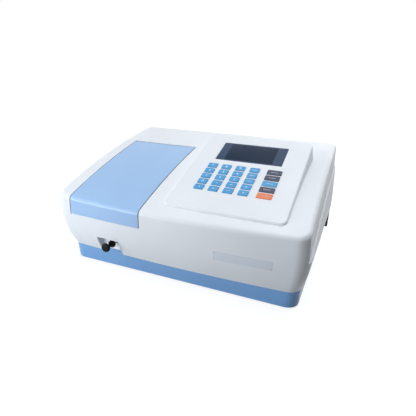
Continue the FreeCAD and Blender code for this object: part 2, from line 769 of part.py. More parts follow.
def build_cover():
    wall = float(size("cover_wall"))
    wedge = console_wedge(0.0, 0.0, float(size("console_depth")))
    crown = [edge for edge in wedge.Edges
             if all((TILT.inverted().multVec(v.Point - CONSOLE_ORIGIN)).z > -0.01 for v in edge.Vertexes)]
    wedge = wedge.makeChamfer(float(size("console_round")) * 0.6, crown)
    shell = outside.fuse(wedge).cut(hollow)
    shell = shell.cut(console_wedge(wall, wall, float(size("console_depth")) + 2))
    cuts = [lid_window(float(size("lid_gap")), float(size("lid_gap")))]
    deep = float(size("console_wall")) + 1
    cuts.append(console_box(size("screen_left"), screen_start, size("screen_width"),
                            size("screen_length"), -deep, deep))
    gap = size("key_gap")
    for _name, left, front, width in key_places():
        cuts.append(console_box(left - gap, front - gap, width + gap * 2,
                                size("key_length") + gap * 2, -deep, deep))
    shell = shell.cut(cuts)
    # Notch around the pull rod, with its own floor behind the wall
    face = -float(size("front_face"))
    notch_x = float(rod_x - size("notch_offset"))
    half = float(size("notch_half"))
    top = float(rim + size("notch_height"))
    floor_y = -float(size("notch_floor"))
    pocket_box = solid_block((notch_x - half, face - SAFE, rim - 1), (notch_x + half, floor_y, top))
    backing = solid_block((notch_x - half - wall, face - SAFE / 2, rim),
                          (notch_x + half + wall, floor_y + wall, top + wall)).common(outside)
    shell = shell.fuse(backing).cut(pocket_box)
    shell = shell.cut(solid_bar(size("rod_radius") + 1, (rod_x, floor_y - 1, rod_z), wall + 2, (0, 1, 0)))
    # Bosses that hold the hinge pins, beside the lid's back corners
    for sign, edge_x in ((-1, float(lid_left) - float(size("lid_gap"))),
                         (1, float(lid_right) + float(size("lid_gap")))):
        grip = float(size("pin_grip")) + 2
        low_x = min(edge_x, edge_x + sign * grip)
        reach = 2 * float(size("pin_radius")) + 2
        boss = solid_block((low_x, float(hinge_y) - reach, hinge_z_value - reach),
                           (low_x + grip, float(hinge_y) + reach, hinge_z_value + reach)).common(
                               outside.common(arch(1.0)))
        shell = shell.fuse(boss)
        shell = shell.cut(solid_bar(size("pin_radius"), (edge_x - grip, hinge_y, hinge_z_value),
                                    2 * grip, (1, 0, 0)).common(
            solid_block((min(edge_x, edge_x + sign * float(size("pin_grip"))), -half_depth, 0),
                        (max(edge_x, edge_x + sign * float(size("pin_grip"))), half_depth,
                         size("rear_height")))))
    # Bosses under the console plate that carry the keypad board
    deck_rise = float(size("console_wall"))
    reach = float(size("key_depth") + size("key_travel"))
    between = last_key_x + size("key_width") / 2 + size("wide_key_x") - size("wide_key_width") / 2
    for x in (float(size("first_key_x") + size("key_pitch_x") / 2), float(between / 2)):
        for slope in (float(first_key_y + size("key_pitch_y") / 2),
                      float(first_key_y + size("key_pitch_y") * 3.5)):
            boss = Part.makeCylinder(2.4, reach + 1, Vector(x, slope, -deck_rise - reach))
            boss.Placement = FreeCAD.Placement(CONSOLE_ORIGIN, TILT)
            shell = shell.fuse(boss)
    # Opening for the rear panel, stepped to seat it from inside
    lap = float(size("panel_lap"))
    low = (-size("panel_left") + lap, half_depth - SAFE, size("panel_low") + lap)
    high = (size("panel_right") - lap, half_depth + SAFE, size("panel_high") - lap)
    return shell.cut(solid_block(low, high))


finish(shaped("top_cover", build_cover()), "top_cover")


def build_lid():
    wall = float(size("lid_wall"))
    skin = outside.common(lid_window(0.0, 0.0))
    under = housing_form(front=wall).common(arch(wall + 1))
    lid = skin.cut(under)
    # Back edge rolled about the hinge axis
    width = float(size("lid_width"))
    radius = float(size("hinge_radius"))
    keep_out = solid_block((lid_left - 1, hinge_y, 0),
                           (lid_right + 1, lid_back + 1, size("rear_height") + SAFE))
    roll = solid_bar(radius, (lid_left, hinge_y, hinge_z_value), width, (1, 0, 0))
    lid = lid.cut(keep_out).fuse(roll)
    bore = float(size("pin_radius") + size("running_gap"))
    deep = float(size("pin_length") - size("pin_grip")) + 1
    for start in (float(lid_left) - 1, float(lid_right) - deep + 1):
        lid = lid.cut(solid_bar(bore, (start, hinge_y, hinge_z_value), deep, (1, 0, 0)))
    return lid.removeSplitter()


finish(shaped("sample_lid", build_lid()), "sample_lid")


def build_pins():
    reach = float(size("pin_length"))
    grip = float(size("pin_grip"))
    gap = float(size("lid_gap"))
    left = solid_bar(size("pin_radius"), (float(lid_left) - gap - grip, hinge_y, hinge_z_value),
                     reach, (1, 0, 0))
    right = solid_bar(size("pin_radius"), (float(lid_right) + gap + grip - reach, hinge_y, hinge_z_value),
                      reach, (1, 0, 0))
    return Part.makeCompound([left, right])


finish(shaped("hinge_pins", build_pins()), "hinge_pins")


# Base tray and feet

def tray_outline(half, front, bow, rear, radius, z):
    """The tray's outline at a height: a straight or bowed front and round corners."""
    left = Vector(-half, -front, z)
    right = Vector(half, -front, z)
    if bow > 0:
        ahead = Part.Arc(left, Vector(0, -front - bow, z), right).toShape()
    else:
        ahead = Part.makeLine(left, right)
    rear_left = Vector(-half, rear, z)
    rear_right = Vector(half, rear, z)
    wire = Part.Wire([ahead, Part.makeLine(right, rear_right), Part.makeLine(rear_right, rear_left),
                      Part.makeLine(rear_left, left)])
    prism = Part.Face(wire).extrude(Vector(0, 0, 10))
    upright = [edge for edge in prism.Edges if edge.BoundBox.ZLength > 9 and edge.BoundBox.XLength < 1]
    prism = prism.makeFillet(radius, upright)
    base = min(prism.Faces, key=lambda face: face.CenterOfMass.z)
    return base.OuterWire


def tray_form(inset, low, high):
    """The tray's drafted body between two heights."""
    half = float(half_base)
    depth = float(half_depth)
    top_half = float(half_cover - size("side_taper"))
    top_front = float(size("front_face") - size("front_taper"))
    bow = float(size("front_bow"))
    rear = float(size("rear_face")) + float(size("rear_lean")) / 100 * float(size("shoulder_height") - rim)
    corner = float(size("base_corner"))
    wires = []
    for z in (low, high):
        share = z / float(rim)
        wires.append(tray_outline(half + (top_half - half) * share - inset,
                                  depth + (top_front - depth) * share - inset, bow * share,
                                  depth + (rear - depth) * share - inset, corner - inset, z))
    return Part.makeLoft(wires, True, True)


def build_tray():
    wall = float(size("base_wall"))
    floor = float(size("base_floor"))
    tray = tray_form(0.0, 0.0, float(rim))
    tray = tray.cut(tray_form(wall, floor, float(rim) + 1))
    notch_x = float(rod_x - size("notch_offset"))
    half = float(size("notch_half")) - 0.4
    lug_top = float(rim + size("lug_height"))
    lug = solid_block((notch_x - half, -half_depth - SAFE, rim - 3),
                      (notch_x + half, -size("notch_floor") - 0.1, lug_top))
    lug = lug.common(tray_form(0.0, float(rim) / 2, lug_top + 1))
    tray = tray.fuse(lug)
    posts = []
    for x in (lid_left + 14.8, lid_right - 14.8):
        for y in (-145.0, 22.0):
            posts.append(solid_block((x - 4, y - 4, floor), (x + 4, y + 4, size("chamber_base"))))
    for x in (bench_left + 12, length(60.0), bench_right - 12):
        for y in (12 - size("bench_front"), size("bench_back") - 12):
            posts.append(solid_block((x - 4, y - 4, floor), (x + 4, y + 4, size("bench_base"))))
    tray = tray.fuse(posts)
    slots = []
    for index in range(6):
        slots.append(solid_block((120.0 + 12 * index, 60, -1), (124.0 + 12 * index, 110, floor + 1)))
    return tray.cut(slots)


finish(shaped("base_tray", build_tray()), "base_tray")

feet = []
for index in range(4):
    side = -1 if index % 2 == 0 else 1
    row_side = -1 if index < 2 else 1
    feet.append(bar(f"foot_{index + 1}", size("foot_radius"),
                    ((half_base - size("foot_inset_x")) * side,
                     (half_depth - size("foot_inset_y")) * row_side, -size("foot_height")),
                    size("foot_height")))
finish(group("feet", feet), "feet")


# Console: display and keypad

plate = size("console_wall")
screen_fit = 0.15
finish(console_block("console_window", size("screen_left") + screen_fit, screen_start + screen_fit,
                     -size("window_thick"), size("screen_width") - 2 * screen_fit,
                     size("screen_length") - 2 * screen_fit, size("window_thick")), "console_window")

lcd_lap = 4.0
lcd_body = console_block("lcd_body", size("screen_left") - lcd_lap, screen_start - lcd_lap,
                         -plate - size("lcd_depth"), size("screen_width") + 2 * lcd_lap,
                         size("screen_length") + 2 * lcd_lap, size("lcd_depth"))
lcd_face = console_block("lcd_face", size("screen_left") + screen_fit, screen_start + screen_fit,
                         -plate - 1, size("screen_width") - 2 * screen_fit,
                         size("screen_length") - 2 * screen_fit, plate + 1 - size("window_thick"))
finish(fuse("lcd_module", [lcd_body, lcd_face]), "lcd_module")

cap_low = -plate
flange = 1.2
flange_thick = 1.2
contact_rise = plate + size("key_depth")


def key_body(name, left, front, width):
    """One key: a cap through the console plate, a flange that holds it and a stem."""
    body = doc.addObject("PartDesign::Body", name)
    reach = size("key_length")
    on_console(body, left + width / 2, front + reach / 2, 0)
    cap = sketch_on(body, name + "_cap", offset=cap_low)
    draw_round_rectangle(cap, width, reach, size("key_corner"))
    pad(body, name + "_cap_pad", cap, plate + size("key_proud"))
    base = sketch_on(body, name + "_flange", offset=-plate - flange_thick)
    draw_rectangle(base, width + 2 * flange, reach + 2 * flange)
    pad(body, name + "_flange_pad", base, flange_thick)
    stem = sketch_on(body, name + "_stem", offset=-contact_rise)
    draw_rectangle(stem, length(6), length(6))
    pad(body, name + "_stem_pad", stem, contact_rise - plate - flange_thick)
    return body


for key_name, key_left, key_front, key_wide in key_places():
    finish(key_body(key_name, key_left, key_front, key_wide), key_name)

board_top = contact_rise + size("key_travel")
board_low = -board_top - size("board_thick")
keypad_left = size("first_key_x") - size("key_width") / 2 - size("keypad_margin")
keypad_front = first_key_y - size("key_length") / 2 - size("keypad_margin")
keypad_width = size("wide_key_x") + size("wide_key_width") / 2 + size("keypad_margin") - keypad_left
keypad_reach = size("key_pitch_y") * (KEY_ROWS - 1) + size("key_length") + size("keypad_margin") * 2
finish(fuse("keypad_board", [
    console_block("keypad_plate", keypad_left, keypad_front, board_low, keypad_width, keypad_reach,
                  size("board_thick")),
    console_block("keypad_chip", keypad_left + 40, keypad_front + 33, board_low - 2, 20.0, 14.0, 2.5),
    console_block("keypad_plug", keypad_left + 90, keypad_front + 13, board_low - 5, 24.0, 6.0, 5.5)]),
    "keypad_board")


# Sample chamber

def build_chamber():
    wall = float(size("chamber_wall"))
    margin = float(size("chamber_margin"))
    low_x = float(lid_left) + margin
    high_x = float(lid_right) - margin
    front = -float(size("chamber_front"))
    back = float(size("chamber_back"))
    base = float(size("chamber_base"))
    top = float(size("rear_height"))
    sill = float(size("lid_sill")) - 3.5
    tray = solid_block((low_x, front, base), (high_x, back, top)).common(under_cover)
    tray = tray.cut(solid_block((low_x + wall, front + wall, base + wall), (high_x - wall, back - wall, top)))
    tray = tray.cut(solid_block((low_x + wall, front - 1, sill), (high_x - wall, front + wall + 1, top)))
    tray = tray.cut(solid_block((low_x - 1, front - 1, sill), (high_x + 1, front + wall, top)))
    ledge = solid_block((low_x, front - 60, sill - wall), (high_x, front + wall, sill)).common(hollow)
    tray = tray.fuse(ledge)
    hole = size("beam_hole")
    tray = tray.cut(solid_bar(hole, (low_x - 1, beam_y, beam_z), high_x - low_x + 2, (1, 0, 0)))
    tray = tray.cut(solid_bar(size("rod_radius") + 0.5, (rod_x, front - 1, rod_z), wall + 2, (0, 1, 0)))
    return tray.removeSplitter()


finish(shaped("chamber_tray", build_chamber()), "chamber_tray")

rail_start = -size("chamber_front") + size("chamber_wall")
rail_reach = size("chamber_front") + size("chamber_back") - 2 * size("chamber_wall")
finish(group("carriage_rails", [
    bar("rail_left", size("rail_radius"), (rod_x - size("rail_spread"), rail_start, size("rail_height")),
        rail_reach, "y"),
    bar("rail_right", size("rail_radius"), (rod_x + size("rail_spread"), rail_start, size("rail_height")),
        rail_reach, "y")]), "carriage_rails")

CELLS = 4
carriage_front = beam_y - size("carriage_end")
carriage_back = beam_y + size("cell_pitch") * (CELLS - 1) + size("carriage_end")
carriage_solid = fuse("carriage_solid", [
    block("carriage_base", (rod_x - size("carriage_half"), carriage_front, size("carriage_low")),
          (rod_x + size("carriage_half"), carriage_back, size("carriage_deck"))),
    block("carriage_tower", (rod_x - size("tower_half"), carriage_front, size("carriage_deck") - 1),
          (rod_x + size("tower_half"), carriage_back, size("cell_top")))])
carriage_holes = []
for sign, side in ((-1, "left"), (1, "right")):
    carriage_holes.append(bar(f"rail_bore_{side}", size("rail_radius") + size("running_gap"),
                              (rod_x + size("rail_spread") * sign, carriage_front - 1, size("rail_height")),
                              carriage_back - carriage_front + 2, "y"))
half_cell = size("cell_square") / 2
for index in range(CELLS):
    cell_y = beam_y + size("cell_pitch") * index
    carriage_holes.append(block(f"cell_{index + 1}",
                                (rod_x - half_cell, cell_y - half_cell, size("cell_floor")),
                                (rod_x + half_cell, cell_y + half_cell, size("cell_top") + 1)))
    carriage_holes.append(block(
        f"cell_light_{index + 1}", (rod_x - size("tower_half") - 1, cell_y - 3, beam_z - 8),
        (rod_x + size("tower_half") + 1, cell_y + 3, beam_z + 6)))
rod_seat = 4.0
carriage_holes.append(bar("rod_socket", size("rod_radius"), (rod_x, carriage_front - 1, rod_z),
                          length(rod_seat + 1), "y"))
finish(cut("cell_carriage", carriage_solid, carriage_holes), "cell_carriage")

knob_face = -size("knob_reach")
knob_back = knob_face + size("knob_length")
knob_bore = 10.0
finish(bar("pull_rod", size("rod_radius"), (rod_x, knob_back - knob_bore, rod_z),
           carriage_front + rod_seat - knob_back + knob_bore, "y"), "pull_rod")

knob = doc.addObject("PartDesign::Body", "pull_knob")
seat(knob, rod_x, knob_back, rod_z, FreeCAD.Rotation(Vector(1, 0, 0), 90))
disc = size("knob_disc")
reach = size("knob_length")
revolve(knob, "knob_turned", [
    (size("rod_radius"), 0), (size("knob_inner"), 0), (size("knob_inner"), disc), (size("knob_waist"), disc),
    (size("knob_waist"), reach - disc), (size("knob_radius"), reach - disc),
    (size("knob_radius"), reach - 1.2),
    (size("knob_radius") - 1.2, reach), (0, reach), (0, knob_bore), (size("rod_radius"), knob_bore)])
finish(knob, "pull_knob")


# Optical bench and monochromator

bench_top = size("bench_base") + size("bench_thick")
shaft_gap = size("shaft_radius") + 1.5
grating_x = size("grating_x")
grating_y = -size("grating_y")
turret_x = size("turret_x")
light_y = size("entrance_y")
bench_plate = block("bench_plate", (bench_left, -size("bench_front"), size("bench_base")),
                    (bench_right, size("bench_back"), bench_top))
finish(cut("optical_bench", bench_plate, [
    bar("bench_hole_grating", shaft_gap, (grating_x, grating_y, size("bench_base") - 1),
        size("bench_thick") + 2),
    bar("bench_hole_turret", shaft_gap, (turret_x, light_y, size("bench_base") - 1), size("bench_thick") + 2),
    block("bench_window", (96.0, -4.0, size("bench_base") - 1), (200.0, -1.0, bench_top + 1))]),
    "optical_bench")

mono_top = bench_top + size("mono_height")
mono_wall = size("mono_wall")
mono_left = bench_left + size("mono_inset")
mono_solid = block("mono_solid", (mono_left, -size("mono_front"), bench_top),
                   (size("mono_right"), size("mono_back"), mono_top))
finish(cut("monochromator_housing", mono_solid, [
    block("mono_hollow", (mono_left + mono_wall, -size("mono_front") + mono_wall, bench_top + mono_wall),
          (size("mono_right") - mono_wall, size("mono_back") - mono_wall, mono_top + 1)),
    bar("mono_shaft_hole", shaft_gap, (grating_x, grating_y, bench_top - 1), mono_wall + 2),
    block("exit_slit", (mono_left - 1, beam_y - 1.5, beam_z - 6),
          (mono_left + mono_wall + 1, beam_y + 1.5, beam_z + 6)),
    block("entrance_slit", (size("mono_right") - mono_wall - 1, light_y - 1.5, beam_z - 6),
          (size("mono_right") + 1, light_y + 1.5, beam_z + 6))]), "monochromator_housing")

cover_screws = []
for index, (x, y) in enumerate((
        (mono_left + 6, 6 - size("mono_front")), (size("mono_right") - 6, 6 - size("mono_front")),
        (mono_left + 6, size("mono_back") - 6), (size("mono_right") - 6, size("mono_back") - 6))):
    cover_screws.append(bar(f"mono_screw_{index + 1}", length(3.5), (x, y, mono_top + size("mono_lid") - 0.5),
                            length(2.5)))
finish(fuse("monochromator_cover", [
    block("mono_plate", (mono_left, -size("mono_front"), mono_top),
          (size("mono_right"), size("mono_back"), mono_top + size("mono_lid")))] + cover_screws),
    "monochromator_cover")

shaft_reach = 6.0
table_base = bench_top + mono_wall + 3
half_grating = size("grating_side") / 2
finish(fuse("grating_table", [
    bar("table_shaft", size("shaft_radius"), (grating_x, grating_y, size("bench_base") - shaft_reach),
        table_base - size("bench_base") + shaft_reach + 1),
    bar("table_disc", size("table_radius"), (grating_x, grating_y, table_base), size("table_thick")),
    block("grating_block", (grating_x - half_grating, grating_y - size("grating_thick") / 2,
                            table_base + size("table_thick") - 0.5),
          (grating_x + half_grating, grating_y + size("grating_thick") / 2,
           table_base + size("table_thick") + size("grating_side")))]), "grating_table")

mirror_y = size("mono_back") - mono_wall - size("mirror_thick")
mirror_low = bench_top + mono_wall
mirror_width = (size("mono_right") - mono_left) / 2 - size("mirror_gap")
mirrors = []
for name, mirror_x in (("mirror_left", mono_left + 16),
                       ("mirror_right", size("mono_right") - 20 - mirror_width)):
    mirrors.append(block(name, (mirror_x, mirror_y, mirror_low),
                         (mirror_x + mirror_width, size("mono_back") - mono_wall,
                          mirror_low + size("mirror_side"))))
finish(group("fold_mirrors", mirrors), "fold_mirrors")


def motor(name, start, along, bore_at_end, reach=size("motor_length")):
    """A stepper motor with its bearing bore at one end."""
    body = bar(name + "_case", size("motor_radius"), start, reach, along)
    x, y, z = start
    inset = reach - shaft_reach if bore_at_end else length(-1)
    if along == "z":
        bore_start = (x, y, z + inset)
    else:
        bore_start = (x + inset, y, z)
    bore = bar(name + "_bore", size("shaft_radius") + size("running_gap"), bore_start,
               length(shaft_reach + 1), along)
    return cut(name, body, [bore])


motor_low = size("bench_base") - size("motor_length")
wheel_y = light_y + size("filter_circle")
lamp_wall = size("lamp_wall")
wheel_motor_x = size("lamp_left") + lamp_wall
finish(group("stepper_motors", [
    motor("grating_motor", (grating_x, grating_y, motor_low), "z", True),
    motor("turret_motor", (turret_x, light_y, motor_low), "z", True),
    motor("wheel_motor", (wheel_motor_x, wheel_y, beam_z), "x", False)]), "stepper_motors")


# Lamps and filter wheel

lamp_top = bench_top + size("lamp_height")
lamp_solid = block("lamp_solid", (size("lamp_left"), size("lamp_front"), bench_top),
                   (size("lamp_right"), size("lamp_back"), lamp_top))
lamp_cuts = [
    block("lamp_hollow", (size("lamp_left") + lamp_wall, size("lamp_front") + lamp_wall, bench_top - 1),
          (size("lamp_right") - lamp_wall, size("lamp_back") - lamp_wall, lamp_top - lamp_wall)),
    bar("lamp_port_hole", size("lamp_port"), (size("lamp_left") - 1, light_y, beam_z), lamp_wall + 2, "x"),
    bar("wheel_shaft_hole", size("shaft_radius") + 0.5, (size("lamp_left") - 1, wheel_y, beam_z),
        lamp_wall + 2, "x")]
for index in range(6):
    lamp_cuts.append(block(f"lamp_vent_{index + 1}", (118.0 + 13 * index, 20.0, lamp_top - lamp_wall - 1),
                           (122.0 + 13 * index, 98.0, lamp_top + 1)))
finish(cut("lamp_house", lamp_solid, lamp_cuts), "lamp_house")

halogen_x = 178.0
glow_x = length(halogen_x)
tungsten = doc.addObject("PartDesign::Body", "tungsten_lamp")
seat(tungsten, glow_x, light_y, bench_top)
revolve(tungsten, "tungsten_turned", [
    (0, 0), (12, 0), (12, 3), (8, 3), (8, 20), (5.5, 20), (5.5, 36), (2.5, 42), (0, 42)])
finish(tungsten, "tungsten_lamp")

deuterium = doc.addObject("PartDesign::Body", "deuterium_lamp")
seat(deuterium, turret_x, light_y + 50, bench_top)
revolve(deuterium, "deuterium_turned", [
    (0, 0), (20, 0), (20, 4), (15, 4), (15, 58), (7, 66), (0, 66)])
finish(deuterium, "deuterium_lamp")

mirror_base = bench_top + 4
mirror_arm = fuse("turret_arm", [
    bar("turret_shaft", size("shaft_radius"), (turret_x, light_y, size("bench_base") - shaft_reach),
        mirror_base - size("bench_base") + shaft_reach + 20),
    bar("turret_hub", length(9), (turret_x, light_y, mirror_base), length(5))])
turret_mirror = doc.addObject("Part::Box", "turret_mirror")
bind(turret_mirror, "Length", length(22))
bind(turret_mirror, "Width", length(4))
bind(turret_mirror, "Height", length(34))
turn = FreeCAD.Rotation(Vector(0, 0, 1), 45)
corner = turn.multVec(Vector(-11, -2, 0))
seat(turret_mirror, turret_x + corner.x, light_y + corner.y, mirror_base + 4, turn)
finish(fuse("lamp_mirror", [mirror_arm, turret_mirror]), "lamp_mirror")

wheel_x = size("wheel_x")
wheel_disc = fuse("wheel_solid", [
    bar("wheel_disc", size("wheel_radius"), (wheel_x, wheel_y, beam_z), size("wheel_thick"), "x"),
    bar("wheel_hub", length(6), (wheel_x, wheel_y, beam_z), size("wheel_thick") + 3, "x"),
    bar("wheel_shaft", size("shaft_radius"), (wheel_x, wheel_y, beam_z),
        wheel_motor_x - wheel_x + shaft_reach, "x")])
filter_holes = []
for index in range(int(float(size("filter_count")))):
    angle = 360.0 / float(size("filter_count")) * index
    across = size("filter_circle") * math.cos(math.radians(angle))
    above = size("filter_circle") * math.sin(math.radians(angle))
    filter_holes.append(bar(f"filter_{index + 1}", size("filter_radius"),
                            (wheel_x - 1, wheel_y - across, beam_z + above), size("wheel_thick") + 2, "x"))
finish(cut("filter_wheel", wheel_disc, filter_holes), "filter_wheel")

chamber_side = lid_left + size("chamber_margin")
detector_body = block("detector_body", (chamber_side - 18, beam_y - 20, beam_z - 15),
                      (chamber_side, beam_y + 20, beam_z + 20))
finish(cut("detector_box", detector_body, [
    bar("detector_well", size("beam_hole"), (chamber_side - 10, beam_y, beam_z), length(11), "x")]),
    "detector_box")


# Electrics

board_z = bench_top + 8
board_left = size("mono_right") + 16
board_right = bench_right - 6
board_front = 6 - size("bench_front")
board_back = size("lamp_front") - 12
board_pieces = [block("main_plate", (board_left, board_front, board_z),
                      (board_right, board_back, board_z + size("board_thick")))]
for index, (x, y) in enumerate((
        (board_left + 6, board_front + 6), (board_right - 6, board_front + 6),
        (board_left + 6, board_back - 6), (board_right - 6, board_back - 6))):
    board_pieces.append(bar(f"standoff_{index + 1}", length(3), (x, y, bench_top), length(8)))
for index, (x, y, wide, deep, tall) in enumerate((
        (board_left + 12, board_front + 16, 30.0, 30.0, 3.0),
        (board_left + 52, board_front + 12, 14.0, 34.0, 3.0),
        (board_right - 32, board_front + 16, 22.0, 10.0, 9.0),
        (board_left + 16, board_front + 56, 16.0, 34.0, 3.0),
        (board_left + 40, board_front + 62, 40.0, 12.0, 5.0),
        (board_right - 22, board_front + 56, 12.0, 12.0, 14.0))):
    board_pieces.append(block(f"chip_{index + 1}", (x, y, board_z + size("board_thick") - 0.3),
                              (x + wide, y + deep, board_z + size("board_thick") + tall)))
finish(fuse("main_board", board_pieces), "main_board")

supply_left = bench_left + 6
supply_right = supply_left + size("supply_width")
supply_front = size("mono_back") + 8
supply_back = size("bench_back") - 6
supply_top = bench_top + size("supply_height")
supply_wall = size("supply_wall")
supply_solid = block("supply_solid", (supply_left, supply_front, bench_top),
                     (supply_right, supply_back, supply_top))
supply_cuts = [block("supply_hollow",
                     (supply_left + supply_wall, supply_front + supply_wall, bench_top + supply_wall),
                     (supply_right - supply_wall, supply_back - supply_wall, supply_top - supply_wall))]
for index in range(7):
    supply_cuts.append(block(f"supply_vent_{index + 1}",
                             (supply_left + 14 + 11 * index, supply_front + 10, supply_top - supply_wall - 1),
                             (supply_left + 19 + 11 * index, supply_back - 10, supply_top + 1)))
supply_can = cut("supply_can", supply_solid, supply_cuts)
supply_core = block("supply_core", (supply_left + 22, supply_front + 18, bench_top + 1),
                    (supply_left + 62, supply_back - 18, supply_top - 10))
finish(fuse("power_supply", [supply_can, supply_core]), "power_supply")


# Rear panel and its fittings

panel_wall = float(size("panel_thick"))
behind_panel = rear_block(float(size("cover_wall")) + panel_wall)
panel_y = float(size("rear_face")) - float(size("cover_wall"))


def wall_slab(low_x, high_x, low_z, high_z, thick, inset):
    """A slab that follows the leaning rear wall."""
    slab = solid_block((low_x, half_depth - 60, low_z), (high_x, half_depth + 60, high_z))
    return slab.common(rear_block(inset)).cut(rear_block(inset + thick))


def build_panel():
    shape = wall_slab(-size("panel_left"), size("panel_right"), size("panel_low"), size("panel_high"),
                      panel_wall, float(size("cover_wall")))
    reach = (panel_y - 20, panel_y + 20)
    cuts = [solid_block((-size("inlet_x") - 14, reach[0], size("inlet_height") - 11),
                        (-size("inlet_x") + 14, reach[1], size("inlet_height") + 11)),
            solid_block((-size("switch_x") - 8.5, reach[0], size("switch_height") - 12.5),
                        (-size("switch_x") + 8.5, reach[1], size("switch_height") + 12.5)),
            solid_block((-29.0, reach[0], 57.0), (-5.0, reach[1], 67.0)),
            solid_block((7.0, reach[0], 57.0), (49.0, reach[1], 67.0))]
    fan_x = float(size("fan_x"))
    fan_z = float(size("fan_height"))
    for index in range(-4, 5):
        tall = math.sqrt(29.0 ** 2 - (index * 6.5) ** 2)
        cuts.append(solid_block((fan_x + index * 6.5 - 2, reach[0], fan_z - tall),
                                (fan_x + index * 6.5 + 2, reach[1], fan_z + tall)))
    return shape.cut(cuts)


finish(shaped("rear_panel", build_panel()), "rear_panel")


def build_inlet():
    x = -float(size("inlet_x"))
    z = float(size("inlet_height"))
    outer = rear_block(float(size("cover_wall")))
    collar = solid_block((x - 20, panel_y - 5, z - 14), (x + 20, panel_y + 2.6, z + 14)).cut(outer)
    shell = solid_block((x - 13.5, panel_y - 24, z - 10.5), (x + 13.5, panel_y + 1, z + 10.5))
    body = collar.fuse(shell)
    body = body.cut(solid_block((x - 11, panel_y - 14, z - 8), (x + 11, panel_y + 5, z + 8)))
    for dx, dz in ((-6.0, -2.0), (0.0, 3.0), (6.0, -2.0)):
        body = body.fuse(solid_block((x + dx - 1, panel_y - 16, z + dz - 2),
                                     (x + dx + 1, panel_y - 4, z + dz + 2)))
    return body


finish(shaped("power_inlet", build_inlet()), "power_inlet")

rocker_y = panel_y - 1.5
ROCKER_LEAN = 8.0


def build_switch():
    x = -float(size("switch_x"))
    z = float(size("switch_height"))
    outer = rear_block(float(size("cover_wall")))
    collar = solid_block((x - 10.5, panel_y - 5, z - 14.5), (x + 10.5, panel_y + 2.6, z + 14.5)).cut(outer)
    shell = solid_block((x - 8.2, panel_y - 20, z - 12.2), (x + 8.2, panel_y + 1, z + 12.2))
    body = collar.fuse(shell)
    body = body.cut(solid_block((x - 7.2, panel_y - 10.5, z - 11.7), (x + 7.2, panel_y + 5, z + 11.7)))
    return body.fuse(solid_bar(1.5, (x - 7.7, rocker_y, z), 15.4, (1, 0, 0)))


finish(shaped("switch_frame", build_switch()), "switch_frame")


def build_rocker():
    x = -float(size("switch_x"))
    z = float(size("switch_height"))
    lean = FreeCAD.Rotation(Vector(1, 0, 0), -ROCKER_LEAN)
    pivot = Vector(x - 6.9, rocker_y, z)
    points = [(-4, -8), (-4, 8), (3.5, 10.6), (2.4, 0), (3.5, -10.6)]
    corners = [pivot + lean.multVec(Vector(0, ahead, above)) for ahead, above in points]
    body = Part.Face(Part.makePolygon(corners + corners[:1])).extrude(Vector(13.8, 0, 0))
    return body.cut(solid_bar(1.5 + float(size("running_gap")), (x - 8, rocker_y, z), 16, (1, 0, 0)))


finish(shaped("power_switch", build_rocker()), "power_switch")


def build_ports():
    outer = rear_block(float(size("cover_wall")))
    pieces = []
    for low_x, high_x in ((-33.0, -1.0), (3.0, 53.0)):
        collar = solid_block((low_x, panel_y - 5, 55.5), (high_x, panel_y + 1.6, 68.5)).cut(outer)
        shell = solid_block((low_x + 5, panel_y - 10, 57.8), (high_x - 5, panel_y + 5.5, 66.2))
        core = solid_block((low_x + 6, panel_y - 2, 58.8), (high_x - 6, panel_y + 6, 65.2))
        pieces.append(collar.fuse(shell).cut(core))
    return Part.makeCompound(pieces)


finish(shaped("data_ports", build_ports()), "data_ports")

fan_x = float(size("fan_x"))
fan_z = float(size("fan_height"))
fan_front = panel_y - panel_wall - float(size("fan_depth"))


def build_fan_frame():
    half = float(size("fan_side")) / 2
    body = solid_block((fan_x - half, fan_front, fan_z - half), (fan_x + half, panel_y + 5, fan_z + half))
    body = body.cut(solid_bar(size("fan_bore"), (fan_x, fan_front - 1, fan_z), 40, (0, 1, 0)))
    spider_y = fan_front + float(size("fan_depth")) - 3.0
    arms = []
    for index in range(3):
        arm = Part.makeBox(4, 2.0, float(size("fan_bore")) + 1.5, Vector(fan_x - 2, spider_y, fan_z))
        arm.rotate(Vector(fan_x, spider_y, fan_z), Vector(0, 1, 0), 120 * index + 30)
        arms.append(arm)
    arms.append(solid_bar(12.0, (fan_x, spider_y, fan_z), 2.0, (0, 1, 0)))
    arms.append(solid_bar(2.0, (fan_x, spider_y - 8.0, fan_z), 9.0, (0, 1, 0)))
    return body.fuse(arms).common(behind_panel)


finish(shaped("fan_frame", build_fan_frame()), "fan_frame")


def build_rotor():
    hub_front = fan_front + 1.5
    deep = 9.5
    hub = solid_bar(size("hub_radius"), (fan_x, hub_front, fan_z), deep, (0, 1, 0))
    count = int(float(size("blade_count")))
    outer = float(size("fan_bore")) - 1.2
    blades = []
    for index in range(count):
        blade = Part.makeBox(15.0, 1.4, outer - 10.0, Vector(-7.5, -0.7, 10.0))
        blade.rotate(Vector(0, 0, 0), Vector(0, 0, 1), 32)
        blade.translate(Vector(fan_x, hub_front + deep / 2, fan_z))
        blade.rotate(Vector(fan_x, hub_front, fan_z), Vector(0, 1, 0), 360.0 / count * index)
        blades.append(blade)
    body = hub.fuse(blades)
    ring = solid_bar(outer, (fan_x, hub_front, fan_z), deep, (0, 1, 0))
    body = body.common(ring)
    body = body.cut(solid_bar(2.0 + float(size("running_gap")), (fan_x, hub_front + 2, fan_z),
                              deep, (0, 1, 0)))
    return body


finish(shaped("fan_rotor", build_rotor()), "fan_rotor")


